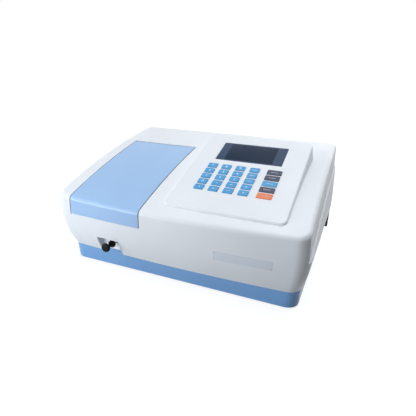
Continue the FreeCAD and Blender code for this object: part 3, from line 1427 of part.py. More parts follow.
def build_sink():
    right = float(half_cover - size("sink_inset"))
    left = right - float(size("sink_width"))
    low = float(size("sink_low"))
    high = low + float(size("sink_tall"))
    back = float(size("rear_face") + size("sink_depth"))
    near = float(size("rear_face")) + 0.5
    plate = near + float(size("sink_plate")) + 1
    wall_back = rear_block(0.0)
    body = solid_block((left, near - 5, float(rim) + 0.5), (right, plate, high)).cut(wall_back)
    count = int(float(size("fin_count")))
    thick = float(size("fin_thick"))
    fins = []
    for index in range(count):
        x = left + (right - left - thick) * index / (count - 1)
        fins.append(solid_block((x, plate - 1, low), (x + thick, back, high)))
    foot = solid_block((left, near + 2, low), (right, plate, float(rim) + 1))
    return body.fuse([foot] + fins)


finish(shaped("heat_sink", build_sink()), "heat_sink")

# Every object has to be sound before anything is written
doc.recompute()
for thing in doc.Objects:
    trouble = [state for state in thing.State if state in ("Invalid", "Error")]
    if trouble:
        raise RuntimeError(f"{thing.Name}: {trouble}")
for thing in finished:
    if thing.Shape.isNull():
        raise RuntimeError(f"{thing.Label} has no shape")
    if not thing.Shape.isValid():
        raise RuntimeError(f"{thing.Label} is not a valid shape")
    if not thing.Shape.Solids:
        raise RuntimeError(f"{thing.Label} has no solid")

os.makedirs("parts", exist_ok=True)
for thing in finished:
    thing.Shape.exportStep(f"parts/{thing.Label}.step")
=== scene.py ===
"""Looks of the scanning spectrophotometer: materials, legends, small trim, light and camera."""
import json
import math

import bmesh
import bpy
from mathutils import Matrix, Vector
from mathutils.bvhtree import BVHTree


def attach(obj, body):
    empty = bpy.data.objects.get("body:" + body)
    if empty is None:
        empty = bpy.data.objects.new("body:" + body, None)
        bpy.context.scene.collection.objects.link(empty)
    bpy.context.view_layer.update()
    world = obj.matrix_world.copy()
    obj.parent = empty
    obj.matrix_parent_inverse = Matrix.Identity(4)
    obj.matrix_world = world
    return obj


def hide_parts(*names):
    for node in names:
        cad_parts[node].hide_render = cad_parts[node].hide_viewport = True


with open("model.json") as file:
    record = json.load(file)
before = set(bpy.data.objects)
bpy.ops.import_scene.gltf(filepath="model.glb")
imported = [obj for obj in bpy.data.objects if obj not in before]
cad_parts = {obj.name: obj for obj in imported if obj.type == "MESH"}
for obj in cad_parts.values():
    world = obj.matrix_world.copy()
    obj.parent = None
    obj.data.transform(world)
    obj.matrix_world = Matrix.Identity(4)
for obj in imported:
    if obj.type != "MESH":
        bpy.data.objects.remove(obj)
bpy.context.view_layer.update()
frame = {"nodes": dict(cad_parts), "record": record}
nodes = frame["nodes"]
MM = 0.001


# Colours and materials

def linear(red, green, blue):
    """A colour read as 0 to 255 values, as the shader wants it."""
    made = []
    for value in (red, green, blue):
        share = value / 255
        made.append(share / 12.92 if share <= 0.04045 else ((share + 0.055) / 1.055) ** 2.4)
    return (*made, 1.0)


def shade(colour, factor):
    return (*(min(1.0, value * factor) for value in colour[:3]), 1.0)


# Nearly all of a noise's values lie between these two
NOISE_LOW, NOISE_HIGH = 0.3, 0.7


class Recipe:
    """A small helper that adds and joins the nodes of one material."""

    def __init__(self, name):
        self.material = bpy.data.materials.new(name)
        self.material.use_nodes = True
        self.tree = self.material.node_tree
        self.shader = self.tree.nodes["Principled BSDF"]
        self.place = self.add("ShaderNodeTexCoord").outputs["Object"]

    def add(self, kind, **values):
        node = self.tree.nodes.new(kind)
        for key, value in values.items():
            setattr(node, key, value)
        return node

    def link(self, start, end):
        self.tree.links.new(start, end)

    def noise(self, scale, detail=3.0, stretch=None):
        node = self.add("ShaderNodeTexNoise")
        node.inputs["Scale"].default_value = scale
        node.inputs["Detail"].default_value = detail
        source = self.place
        if stretch is not None:
            mapping = self.add("ShaderNodeMapping")
            mapping.inputs["Scale"].default_value = stretch
            self.link(self.place, mapping.inputs["Vector"])
            source = mapping.outputs["Vector"]
        self.link(source, node.inputs["Vector"])
        return node.outputs["Fac"]

    def spread(self, source, low, high):
        node = self.add("ShaderNodeMapRange")
        node.inputs["From Min"].default_value = NOISE_LOW
        node.inputs["From Max"].default_value = NOISE_HIGH
        node.inputs["To Min"].default_value = low
        node.inputs["To Max"].default_value = high
        self.link(source, node.inputs["Value"])
        return node.outputs["Result"]

    def tint(self, source, first, second):
        node = self.add("ShaderNodeMix", data_type="RGBA")
        self.link(source, node.inputs[0])
        node.inputs[6].default_value = first
        node.inputs[7].default_value = second
        return node.outputs[2]

    def bump(self, source, height, strength=1.0, below=None):
        node = self.add("ShaderNodeBump")
        node.inputs["Distance"].default_value = height
        node.inputs["Strength"].default_value = strength
        self.link(source, node.inputs["Height"])
        if below is not None:
            self.link(below, node.inputs["Normal"])
        return node.outputs["Normal"]


# How fine the drift of colour, the smudges and the slow waves of moulded plastic are
DRIFT_SCALE, SMUDGE_SCALE, WAVE_SCALE = 9.0, 34.0, 26.0
# How fine the streaks of brushed metal, the mottle of other metal and the haze of glass are
STREAK_SCALE, MOTTLE_SCALE, HAZE_SCALE = 420.0, 260.0, 60.0


def moulded(name, colour, rough=0.38, grain=0.00003, texture=1600.0, drift=0.03, coat=0.0, shine=0.5):
    """Moulded or painted plastic: a fine texture, faint drift of colour and of gloss."""
    made = Recipe(name)
    wide = made.spread(made.noise(DRIFT_SCALE, detail=2.0), 0.0, 1.0)
    made.link(made.tint(wide, shade(colour, 1 - drift), shade(colour, 1 + drift)),
              made.shader.inputs["Base Color"])
    smudge = made.noise(SMUDGE_SCALE, detail=4.0)
    made.link(made.spread(smudge, rough - 0.04, rough + 0.06), made.shader.inputs["Roughness"])
    fine = made.bump(made.noise(texture, detail=2.0), grain)
    waves = made.noise(WAVE_SCALE, detail=1.0)
    made.link(made.bump(waves, grain * 2.2, strength=0.6, below=fine), made.shader.inputs["Normal"])
    made.shader.inputs["Coat Weight"].default_value = coat
    made.shader.inputs["Coat Roughness"].default_value = 0.12
    made.shader.inputs["Specular IOR Level"].default_value = shine
    return made.material


def metal(name, colour, rough=0.34, brushed=None, metallic=1.0):
    """Bare, brushed or anodised metal."""
    made = Recipe(name)
    if brushed:
        streaks = made.noise(STREAK_SCALE, stretch=brushed)
    else:
        streaks = made.noise(MOTTLE_SCALE, detail=4.0)
    made.link(made.tint(made.spread(streaks, 0.0, 1.0), shade(colour, 0.9), shade(colour, 1.06)),
              made.shader.inputs["Base Color"])
    made.link(made.spread(streaks, rough - 0.06, rough + 0.1), made.shader.inputs["Roughness"])
    made.link(made.bump(streaks, 0.00002), made.shader.inputs["Normal"])
    made.shader.inputs["Metallic"].default_value = metallic
    return made.material


def clear(name, colour, rough=0.05, alpha=0.35):
    """Clear or tinted glass with a faint haze."""
    made = Recipe(name)
    haze = made.spread(made.noise(HAZE_SCALE), rough, rough + 0.05)
    made.link(haze, made.shader.inputs["Roughness"])
    made.shader.inputs["Base Color"].default_value = colour
    made.shader.inputs["Alpha"].default_value = alpha
    made.shader.inputs["Coat Weight"].default_value = 0.3
    return made.material


LOOKS = {
    "cover_white": moulded("cover_paint", linear(236, 239, 243), rough=0.4, shine=0.4),
    "tray_blue": moulded("tray_paint", linear(118, 168, 222), rough=0.4, coat=0.1),
    "lid_blue": moulded("lid_paint", linear(157, 193, 233), rough=0.34, coat=0.15),
    "foot_rubber": moulded("foot_rubber", linear(38, 38, 40), rough=0.75, grain=0.00008, texture=900.0),
    "steel": metal("turned_steel", linear(188, 190, 194), rough=0.3, brushed=(1.0, 14.0, 1.0)),
    "display_glass": clear("display_glass", linear(60, 70, 90), rough=0.06, alpha=0.5),
    "display_frame": moulded("display_frame", linear(66, 77, 100), rough=0.42),
    "board_green": moulded("board_lacquer", linear(38, 92, 58), rough=0.4, grain=0.00005, texture=700.0,
                           drift=0.1),
    "chamber_black": moulded("chamber_matt", linear(46, 47, 50), rough=0.68, grain=0.00008, texture=1100.0,
                             drift=0.08),
    "anodised_black": metal("black_anodised", linear(52, 53, 57), rough=0.46, metallic=0.6),
    "knob_black": moulded("knob_gloss", linear(5, 6, 8), rough=0.42, grain=0.00001, shine=0.12),
    "cast_alloy": metal("cast_alloy", linear(150, 152, 156), rough=0.55, metallic=0.85),
    "mirror": metal("mirror_face", linear(232, 235, 240), rough=0.1),
    "motor_case": metal("motor_case", linear(120, 122, 128), rough=0.4),
    "sheet_alloy": metal("sheet_alloy", linear(186, 188, 192), rough=0.36, brushed=(1.0, 18.0, 1.0)),
    "lamp_glass": clear("lamp_glass", linear(240, 244, 248), rough=0.04, alpha=0.4),
    "panel_grey": moulded("panel_paint", linear(150, 154, 162), rough=0.5, grain=0.00006, texture=1300.0),
    "socket_black": moulded("socket_black", linear(30, 31, 34), rough=0.4, grain=0.00004, texture=1200.0),
    "fan_black": moulded("fan_black", linear(34, 35, 38), rough=0.5, grain=0.00004, texture=1200.0),
    "sink_black": metal("sink_anodised", linear(34, 35, 38), rough=0.42, brushed=(20.0, 1.0, 1.0),
                        metallic=0.6),
    "key_blue": moulded("key_blue", linear(72, 158, 214), rough=0.46, grain=0.00002, shine=0.35),
    "key_dark": moulded("key_dark", linear(58, 64, 88), rough=0.46, grain=0.00002, shine=0.35),
    "key_orange": moulded("key_orange", linear(240, 132, 88), rough=0.46, grain=0.00002, shine=0.35),
}
PRINT = moulded("legend_print", linear(235, 242, 248), rough=0.5, grain=0.0)

for part in frame["record"]["subparts"]:
    thing = nodes[part["node"]]
    thing.data.materials.clear()
    thing.data.materials.append(LOOKS[part["material_slot"]])


# New pieces

def piece(name, mesh, body, material):
    """An object that rides on a body; a mesh that has materials of its own keeps them."""
    thing = bpy.data.objects.new(name, mesh)
    bpy.context.scene.collection.objects.link(thing)
    if not mesh.materials:
        mesh.materials.append(material)
    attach(thing, body)
    return thing


def finished_mesh(name, build):
    mesh = bpy.data.meshes.new(name)
    build.to_mesh(mesh)
    build.free()
    return mesh


def swept(name, rows):
    """A closed bar through rings of like corners in metres, capped at both ends."""
    build = bmesh.new()
    rings = [[build.verts.new(corner) for corner in row] for row in rows]
    for first, second in zip(rings, rings[1:]):
        for corner in range(len(first)):
            after = (corner + 1) % len(first)
            build.faces.new((first[corner], first[after], second[after], second[corner]))
    build.faces.new(rings[0])
    build.faces.new(list(reversed(rings[-1])))
    bmesh.ops.recalc_face_normals(build, faces=build.faces)
    return finished_mesh(name, build)


# The console: its slope, its front left corner, and directions up it and out of it
TILT = math.radians(21.5)
CORNER = Vector((-19.2, -160.5, 154.1))
UP_SLOPE = Vector((0, math.cos(TILT), math.sin(TILT)))
OUT = Vector((0, -math.sin(TILT), math.cos(TILT)))


def on_console(x, slope, rise):
    """A point by its distance from the console's left and front edges, in metres."""
    return (CORNER + Vector((x, 0, 0)) + UP_SLOPE * slope + OUT * rise) * MM


def console_slab(name, corner, size, low, high, bevel=0.3, steps=3):
    """A slab with rounded edges, square to the console, from its front left corner and its size."""
    build = bmesh.new()
    bmesh.ops.create_cube(build, size=1.0)
    for vert in build.verts:
        x = corner[0] + (vert.co.x + 0.5) * size[0]
        slope = corner[1] + (vert.co.y + 0.5) * size[1]
        vert.co = on_console(x, slope, low + (vert.co.z + 0.5) * (high - low))
    bmesh.ops.bevel(build, geom=list(build.edges), offset=bevel * MM, segments=steps, affect="EDGES",
                    profile=0.5)
    mesh = finished_mesh(name, build)
    mesh.shade_smooth()
    return mesh


# Display: a slate frame print with a dark field on the pane
PANE_CORNER, PANE_SIZE = (41.9, 153.7), (133.1, 64.1)
PANE_LOW, PANE_HIGH = -2.0, -0.05
FIELD_CORNER, FIELD_SIZE = (59.2, 157.4), (96.6, 56.4)
FIELD_LOW, FIELD_HIGH = -0.3, 0.02
field = moulded("display_field", linear(38, 51, 70), rough=0.42, grain=0.0, shine=0.05)
slate = moulded("display_slate", linear(58, 76, 102), rough=0.42, grain=0.0, shine=0.1)
pane_mesh = console_slab("display_pane", PANE_CORNER, PANE_SIZE, PANE_LOW, PANE_HIGH, bevel=0.4)
pane = piece("display_pane", pane_mesh, "housing", slate)
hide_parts("console_window")
field_mesh = console_slab("display_field", FIELD_CORNER, FIELD_SIZE, FIELD_LOW, FIELD_HIGH, bevel=0.08,
                          steps=2)
piece("display_field", field_mesh, "housing", field)


# Key legends: plain digits, arrows and bars, laid just above the key tops. FRONT_KEY is the centre
# of the front left key, by its distance from the console's left and front edges
KEY_TOP = 1.2
KEY_ROWS = 5
FRONT_KEY = (46.2, 60.3)
KEY_PITCH = (27.9, 17.6)
WIDE_KEY_X = 167.4
PRINT_THICK = 0.03
PRINT_RISE = KEY_TOP + PRINT_THICK
FONT_PER_DIGIT = 1.35


def stamp(name, outline, key_centre, body):
    """A flat mark on a key, from outlines in millimetres about the key's centre."""
    build = bmesh.new()
    for ring in outline:
        corners = [build.verts.new(on_console(key_centre[0] + x, key_centre[1] + y, PRINT_RISE))
                   for x, y in ring]
        build.faces.new(corners)
    bmesh.ops.solidify(build, geom=list(build.faces), thickness=PRINT_THICK * MM)
    piece(name, finished_mesh(name, build), body, PRINT)


def digit(name, text, key_centre, body, tall=6.4):
    """A printed digit on a key, its height in millimetres."""
    curve = bpy.data.curves.new(name, "FONT")
    curve.body = text
    curve.align_x = "CENTER"
    curve.align_y = "CENTER"
    curve.size = tall * FONT_PER_DIGIT * MM
    curve.extrude = PRINT_THICK / 2 * MM
    thing = bpy.data.objects.new(name, curve)
    bpy.context.scene.collection.objects.link(thing)
    turn = Matrix.Rotation(TILT, 4, "X")
    turn.translation = on_console(*key_centre, PRINT_RISE)
    mesh = bpy.data.meshes.new_from_object(thing)
    bpy.data.objects.remove(thing)
    mesh.transform(turn)
    mesh.materials.clear()
    piece(name, mesh, body, PRINT)


def bar_mark(width, tall=1.3):
    """A bar about the key's centre."""
    return [[(-width / 2, -tall / 2), (width / 2, -tall / 2), (width / 2, tall / 2), (-width / 2, tall / 2)]]


def arrow_mark(direction):
    """An arrowhead, turned from pointing right by degrees."""
    turn = math.radians(direction)
    ring = [(2.6, 0.0), (-1.9, 2.4), (-1.9, -2.4)]
    return [[(x * math.cos(turn) - y * math.sin(turn), x * math.sin(turn) + y * math.cos(turn))
             for x, y in ring]]


DOT, SHORT_BAR, BAR, WIDE_BAR = bar_mark(2.2, 2.2), bar_mark(5), bar_mark(9), bar_mark(13)
MARKS = {
    (1, 1): "7", (1, 2): "8", (1, 3): "9", (1, 4): BAR,
    (2, 1): "4", (2, 2): "5", (2, 3): "6", (2, 4): BAR,
    (3, 1): "1", (3, 2): "2", (3, 3): "3", (3, 4): BAR,
    (4, 1): "0", (4, 2): DOT, (4, 3): SHORT_BAR, (4, 4): arrow_mark(90),
    (5, 1): arrow_mark(180), (5, 2): arrow_mark(0), (5, 3): BAR, (5, 4): arrow_mark(270),
}
for (row, column), mark in MARKS.items():
    centre = (FRONT_KEY[0] + KEY_PITCH[0] * (column - 1), FRONT_KEY[1] + KEY_PITCH[1] * (KEY_ROWS - row))
    label, body = f"legend_row{row}_col{column}", f"button_row{row}_col{column}"
    if isinstance(mark, str):
        digit(label, mark, centre, body)
    else:
        stamp(label, mark, centre, body)
for row in range(1, KEY_ROWS + 1):
    centre = (WIDE_KEY_X, FRONT_KEY[1] + KEY_PITCH[1] * (KEY_ROWS - row))
    stamp(f"legend_side{row}", WIDE_BAR, centre, f"button_side{row}")


# Surfaces that small trim is laid on, met by a line from well outside the object
FAR = 400
FROM_FRONT, FROM_REAR, FROM_ABOVE, FROM_BELOW = (0, 1, 0), (0, -1, 0), (0, 0, -1), (0, 0, 1)


def skin(name):
    """A node's surface, ready for lines to meet."""
    mesh = nodes[name].data
    return BVHTree.FromPolygons([vert.co.copy() for vert in mesh.vertices],
                                [list(face.vertices) for face in mesh.polygons])


SKINS = {name: skin(name) for name in ("top_cover", "rear_panel", "base_tray", "sample_lid", "power_switch")}


def land(name, start, heading, proud=0.0):
    """Where a line in millimetres meets a node, and the direction out of it there."""
    heading = Vector(heading)
    hit, normal, _index, _far = SKINS[name].ray_cast(Vector(start) * MM, heading)
    if normal.dot(heading) > 0:
        normal = -normal
    return hit + normal * proud * MM, normal


# The rim of a plate, let into the wall
RIM_LET_IN = -0.2


def wall_plate(name, left, right, low, high, proud, across=24, up=5):
    """A thin plate that follows the front wall, its rim let into it."""
    build = bmesh.new()
    grid = []
    for j in range(up + 1):
        line = []
        for i in range(across + 1):
            edge = i in (0, across) or j in (0, up)
            x = left + (right - left) * i / across
            z = low + (high - low) * j / up
            spot = land("top_cover", (x, -FAR, z), FROM_FRONT, RIM_LET_IN if edge else proud)[0]
            line.append(build.verts.new(spot))
        grid.append(line)
    for j in range(up):
        for i in range(across):
            build.faces.new((grid[j][i], grid[j][i + 1], grid[j + 1][i + 1], grid[j + 1][i]))
    mesh = finished_mesh(name, build)
    mesh.shade_smooth()
    return mesh


# The bare plate and the thin darker rim that shows round it
LEFT, RIGHT, LOW, HIGH = 88, 189, 77, 97
RIM = 0.8
rim_mesh = wall_plate("plate_rim", LEFT - RIM, RIGHT + RIM, LOW - RIM, HIGH + RIM, proud=0.2)
piece("plate_rim", rim_mesh, "housing",
      moulded("plate_rim_print", linear(176, 188, 204), rough=0.5, grain=0.00002))
piece("bare_plate", wall_plate("bare_plate", LEFT, RIGHT, LOW, HIGH, proud=0.35), "housing",
      moulded("plate_print", linear(222, 229, 238), rough=0.4, grain=0.00002))


def frame_at(point, out):
    """Axes that put local +Z along a direction."""
    turn = Vector(out).to_track_quat("Z", "Y").to_matrix().to_4x4()
    turn.translation = point
    return turn


# A screw's cross as shares of its radius: how far an arm reaches, and half an arm's width
CROSS_REACH, CROSS_HALF_WIDTH = 0.62, 0.17
# The floor of the cross as a share of the screw's height, and how round its dome is
CROSS_FLOOR, DOME_FALL = 0.55, 0.75
# The foot of a screw's rim, let into what carries it
SCREW_FOOT = -0.3


def screw(name, point, out, radius, tall, look="steel"):
    """A domed screw head with a cross recess, on the housing."""
    build = bmesh.new()
    rings, around = 7, 40
    centre = build.verts.new((0, 0, tall * CROSS_FLOOR * MM))
    last = None
    for ring in range(1, rings + 1):
        reach = radius * ring / rings
        line = []
        for step in range(around):
            turn = 2 * math.pi * step / around
            x, y = reach * math.cos(turn), reach * math.sin(turn)
            z = tall * math.sqrt(max(0.0, 1 - (ring / rings) ** 2 * DOME_FALL))
            if reach < radius * CROSS_REACH and min(abs(x), abs(y)) < radius * CROSS_HALF_WIDTH:
                z = tall * CROSS_FLOOR
            line.append(build.verts.new((x * MM, y * MM, z * MM)))
        for step in range(around):
            after = (step + 1) % around
            if last is None:
                build.faces.new((centre, line[step], line[after]))
            else:
                build.faces.new((last[step], line[step], line[after], last[after]))
        last = line
    foot = [build.verts.new((vert.co.x, vert.co.y, SCREW_FOOT * MM)) for vert in last]
    for step in range(around):
        after = (step + 1) % around
        build.faces.new((last[step], foot[step], foot[after], last[after]))
    build.faces.new(list(reversed(foot)))
    mesh = finished_mesh(name, build)
    mesh.transform(frame_at(point, out))
    mesh.shade_smooth()
    piece(name, mesh, "housing", LOOKS[look])


# Screws of the rear panel, the fan's frame and the underside
FAN_X, FAN_Z, FAN_SCREWS = 104, 84, 31
PANEL_SCREWS = ((-101, 51), (-101, 117), (20, 51), (20, 117), (137, 51), (60, 117))
BASE_SCREWS = ((-185, -60), (185, -60), (0, -125), (0, 145), (-185, 110), (185, 145))
UNDER_BASE = -40
for index, (x, z) in enumerate(PANEL_SCREWS):
    point, out = land("rear_panel", (x, FAR, z), FROM_REAR)
    screw(f"panel_screw_{index + 1}", point, out, radius=3.2, tall=1.6)
for index, (side, above) in enumerate(((-1, -1), (-1, 1), (1, -1), (1, 1))):
    point, out = land("rear_panel", (FAN_X + FAN_SCREWS * side, FAR, FAN_Z + FAN_SCREWS * above), FROM_REAR)
    screw(f"fan_screw_{index + 1}", point, out, radius=2.7, tall=1.4, look="fan_black")
for index, (x, y) in enumerate(BASE_SCREWS):
    point, out = land("base_tray", (x, y, UNDER_BASE), FROM_BELOW)
    screw(f"base_screw_{index + 1}", point, out, radius=4.0, tall=1.8)


def round_edges(build, verts, bevel):
    """Round every edge at some corners, by a bevel in millimetres."""
    edges = list(dict.fromkeys(edge for vert in verts for edge in vert.link_edges))
    bmesh.ops.bevel(build, geom=edges, offset=bevel * MM, segments=2, affect="EDGES", profile=0.5)


# The rounded edge of a post as a share of its radius
EDGE_SHARE = 0.14


def prism(build, place, sides, length, radius, turn=0.0):
    """A short bevelled post towards +Y, from a point in millimetres."""
    made = bmesh.ops.create_cone(build, cap_ends=True, segments=sides, radius1=radius, radius2=radius,
                                 depth=length)["verts"]
    spin = Matrix.Rotation(turn, 4, "Z")
    stand = Matrix.Rotation(math.radians(-90), 4, "X")
    for vert in made:
        vert.co = (Vector(place) + stand @ (spin @ vert.co) + Vector((0, length / 2, 0))) * MM
    round_edges(build, made, radius * EDGE_SHARE)


def rear_box(build, low, high, bevel):
    """A box between two corners in millimetres, with rounded edges."""
    made = bmesh.ops.create_cube(build, size=1.0)["verts"]
    for vert in made:
        vert.co = Vector([(a + (value + 0.5) * (b - a)) * MM for value, a, b in zip(vert.co, low, high)])
    round_edges(build, made, bevel)


# Data ports: insert, contacts in two rows and the lock posts at both ends
PORT_Z, INSERT_HALF = 66.0, 3.0
INSERT_BACK, INSERT_FACE, PIN_FOOT, POST_FOOT = 169.1, 171.0, 170.9, 172.4
UPPER_ROW, LOWER_ROW = 67.4, 64.6
INSERT_GAP, END_ROOM, POST_OUT = 0.2, 5, 3.4
for label, low_x, high_x, upper in (("small", -27, -7, 5), ("large", 9, 47, 13)):
    middle = (low_x + high_x) / 2
    build = bmesh.new()
    rear_box(build, (low_x + INSERT_GAP, INSERT_BACK, PORT_Z - INSERT_HALF),
             (high_x - INSERT_GAP, INSERT_FACE, PORT_Z + INSERT_HALF), bevel=0.3)
    piece(f"port_insert_{label}", finished_mesh("port_insert", build), "housing", LOOKS["socket_black"])
    build = bmesh.new()
    pitch = (high_x - low_x - END_ROOM) / upper
    for row, count in ((UPPER_ROW, upper), (LOWER_ROW, upper - 1)):
        for index in range(count):
            x = middle + (index - (count - 1) / 2) * pitch
            prism(build, (x, PIN_FOOT, row), sides=8, length=3.6, radius=0.45)
    piece(f"port_pins_{label}", finished_mesh("port_pins", build), "housing", LOOKS["steel"])
    build = bmesh.new()
    for x in (low_x - POST_OUT, high_x + POST_OUT):
        prism(build, (x, POST_FOOT, PORT_Z), sides=6, length=4.2, radius=2.1, turn=math.radians(30))
    piece(f"port_posts_{label}", finished_mesh("port_posts", build), "housing", LOOKS["steel"])

# Inlet blades, a little proud of their cores
POWER_X, INLET_Z = -84, 66
BLADE_HALF_WIDTH, BLADE_HALF_HEIGHT = 1.08, 2.08
BLADE_FOOT, BLADE_TIP = 157.4, 167.2
build = bmesh.new()
for across, above in ((-6.0, -2.0), (0.0, 3.0), (6.0, -2.0)):
    x, z = POWER_X + across, INLET_Z + above
    rear_box(build, (x - BLADE_HALF_WIDTH, BLADE_FOOT, z - BLADE_HALF_HEIGHT),
             (x + BLADE_HALF_WIDTH, BLADE_TIP, z + BLADE_HALF_HEIGHT), bevel=0.35)
piece("inlet_blades", finished_mesh("inlet_blades", build), "housing", LOOKS["steel"])

# The rocker's marks: a line above and a circle below
MARK_PROUD, MARK_THICK = 0.05, 0.04
LINE_Z, CIRCLE_Z = 107.5, 96.8
LINE_HALF_WIDTH, LINE_HALF_HEIGHT = 0.6, 2.2
INNER_REACH, OUTER_REACH, RING_STEPS = 1.6, 2.4, 20


def laid_mark(name, node, rings, centre, body):
    """A flat mark laid on a piece seen from behind; each ring is a list of (x, z) corners."""
    build = bmesh.new()
    for ring in rings:
        spots = [land(node, (centre[0] + x, FAR, centre[1] + z), FROM_REAR, MARK_PROUD)[0] for x, z in ring]
        build.faces.new([build.verts.new(spot) for spot in spots])
    bmesh.ops.solidify(build, geom=list(build.faces), thickness=MARK_THICK * MM)
    piece(name, finished_mesh(name, build), body, PRINT)


line_mark = [(-LINE_HALF_WIDTH, -LINE_HALF_HEIGHT), (-LINE_HALF_WIDTH, LINE_HALF_HEIGHT),
             (LINE_HALF_WIDTH, LINE_HALF_HEIGHT), (LINE_HALF_WIDTH, -LINE_HALF_HEIGHT)]
laid_mark("rocker_on", "power_switch", [line_mark], (POWER_X, LINE_Z), "rocker")
ring = []
for index in range(RING_STEPS):
    first, second = 2 * math.pi * index / RING_STEPS, 2 * math.pi * (index + 1) / RING_STEPS
    corners = ((INNER_REACH, first), (OUTER_REACH, first), (OUTER_REACH, second), (INNER_REACH, second))
    ring.append([(reach * math.cos(turn), reach * math.sin(turn)) for reach, turn in corners])
laid_mark("rocker_off", "power_switch", ring, (POWER_X, CIRCLE_Z), "rocker")


def turned(name, profile, start, around=48):
    """A piece turned about a line along Y: (distance from the start, radius) pairs in millimetres."""
    build = bmesh.new()
    rings = []
    for ahead, radius in profile:
        if radius == 0:
            rings.append([build.verts.new((start[0] * MM, (start[1] + ahead) * MM, start[2] * MM))])
            continue
        rings.append([build.verts.new(((start[0] + radius * math.cos(turn)) * MM, (start[1] + ahead) * MM,
                                       (start[2] + radius * math.sin(turn)) * MM))
                      for turn in (2 * math.pi * step / around for step in range(around))])
    for first, second in zip(rings, rings[1:]):
        for step in range(around):
            after = (step + 1) % around
            corners = [first[step % len(first)], first[after % len(first)],
                       second[after % len(second)], second[step % len(second)]]
            build.faces.new(list(dict.fromkeys(corners)))
    bmesh.ops.recalc_face_normals(build, faces=build.faces)
    mesh = finished_mesh(name, build)
    mesh.shade_smooth()
    return mesh


# Pull knob: two rounded discs and a hollow waist, open at the back for its rod, from its front face
KNOB_FACE = (-122, -193, 59)
bore = [(10.0, 0), (10.0, 3.05), (24.5, 3.05)]
rear_disc = [(24.5, 6.3), (24.1, 7.0), (23.4, 7.4), (20.8, 7.4), (20.0, 7.1), (19.4, 6.2)]
waist = [(18.6, 4.6), (17.2, 3.9), (14.0, 3.7), (10.8, 3.8), (8.6, 4.3), (7.0, 5.6), (6.2, 7.4)]
front_disc = [(5.4, 8.3), (4.6, 8.7), (1.9, 8.7), (0.9, 8.3), (0.35, 7.4), (0.1, 5.6), (0.0, 3.0), (0.0, 0)]
knob = piece("spool_knob", turned("spool_knob", bore + rear_disc + waist + front_disc, KNOB_FACE), "carriage",
             LOOKS["knob_black"])
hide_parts("pull_knob")

# Painted shade: a dark strip along the lid's right edge stands in for the shaded gap there. It runs up the
# apron to the fold, then back along the top, following the lid a little in from that edge
GAP_SHADE_PATH_X = -54.5
GAP_SHADE_LEFT, GAP_SHADE_RIGHT, GAP_SHADE_TOP, GAP_SHADE_FOOT = -53.3, -51.7, 0.35, 3.0
APRON_FOOT, APRON_FOLD = 109.3, 137
FOLD_Y, GAP_SHADE_END = -176, 46
GAP_SHADE_STEPS, APRON_SHARE = 40, 0.25
rows = []
for index in range(GAP_SHADE_STEPS + 1):
    share = index / GAP_SHADE_STEPS
    if share < APRON_SHARE:
        z = APRON_FOOT + (APRON_FOLD - APRON_FOOT) * share / APRON_SHARE
        point, out = land("sample_lid", (GAP_SHADE_PATH_X, -FAR, z), FROM_FRONT)
    else:
        y = FOLD_Y + (GAP_SHADE_END - FOLD_Y) * (share - APRON_SHARE) / (1 - APRON_SHARE)
        point, out = land("sample_lid", (GAP_SHADE_PATH_X, y, FAR), FROM_ABOVE)
    line = []
    for x, deep in ((GAP_SHADE_LEFT, GAP_SHADE_TOP), (GAP_SHADE_RIGHT, GAP_SHADE_TOP), (GAP_SHADE_RIGHT, GAP_SHADE_FOOT),
                    (GAP_SHADE_LEFT, GAP_SHADE_FOOT)):
        corner = point - out * deep * MM
        corner.x = x * MM
        line.append(corner)
    rows.append(line)
# Painted shade: the strip's dark navy darkens the gap at the lid's right edge
gap_shade_look = moulded("gap_shade_navy", linear(30, 48, 78), rough=0.6, grain=0.0001, texture=1200.0, drift=0.1,
                    shine=0.2)
piece("lid_edge_gap_shade", swept("lid_edge_gap_shade", rows), "lid", gap_shade_look)

# The cover's lip under the lid's apron, as (distance in from the front wall, height) corners
LIP = [(0.25, 106.4), (0.15, 108.3), (0.5, 108.65), (2.6, 108.65), (2.6, 106.4)]
LIP_LEFT, LIP_RIGHT, LIP_STEPS = -208.0, -52.0, 32
LIP_WALL_Z = 106.6
rows = []
for index in range(LIP_STEPS + 1):
    x = LIP_LEFT + (LIP_RIGHT - LIP_LEFT) * index / LIP_STEPS
    y = land("top_cover", (x, -FAR, LIP_WALL_Z), FROM_FRONT)[0].y / MM
    rows.append([(x * MM, (y + across) * MM, z * MM) for across, z in LIP])
piece("sill_lip", swept("sill_lip", rows), "housing", LOOKS["cover_white"])


def side_prism(build, outline, first_x, last_x):
    """A slab between two places in x, from its (y, z) outline in millimetres."""
    near, far = [[build.verts.new((x * MM, y * MM, z * MM)) for y, z in outline] for x in (first_x, last_x)]
    build.faces.new(near)
    build.faces.new(list(reversed(far)))
    for index in range(len(outline)):
        after = (index + 1) % len(outline)
        build.faces.new((near[index], far[index], far[after], near[after]))


# Cheeks that close the chamber's sides ahead of its walls, under the cover's edge
LEDGE, LEDGE_TOP, CHAMBER_MIDDLE = 104.6, 106.0, -130.0
BACK, BACK_TOP, OUTER = -146.6, 149.5, 79.9
build = bmesh.new()
for side, front in ((1, -181.8), (-1, -176.0)):
    wall = [(BACK, LEDGE), (BACK, BACK_TOP), (-160.0, 144.5), (-172.0, 140.0), (front, 135.0), (front, LEDGE)]
    end = [(BACK, LEDGE), (BACK, BACK_TOP), (-148.4, 148.8), (-148.4, LEDGE)]
    floor_strip = [(BACK, LEDGE), (BACK, LEDGE_TOP), (front + 0.3, LEDGE_TOP), (front + 0.3, LEDGE)]
    for outline, inner in ((wall, 78.7), (end, 73.5), (floor_strip, 75.2)):
        side_prism(build, outline, CHAMBER_MIDDLE + side * inner, CHAMBER_MIDDLE + side * OUTER)
bmesh.ops.recalc_face_normals(build, faces=build.faces)
piece("chamber_cheeks", finished_mesh("chamber_cheeks", build), "housing", LOOKS["chamber_black"])


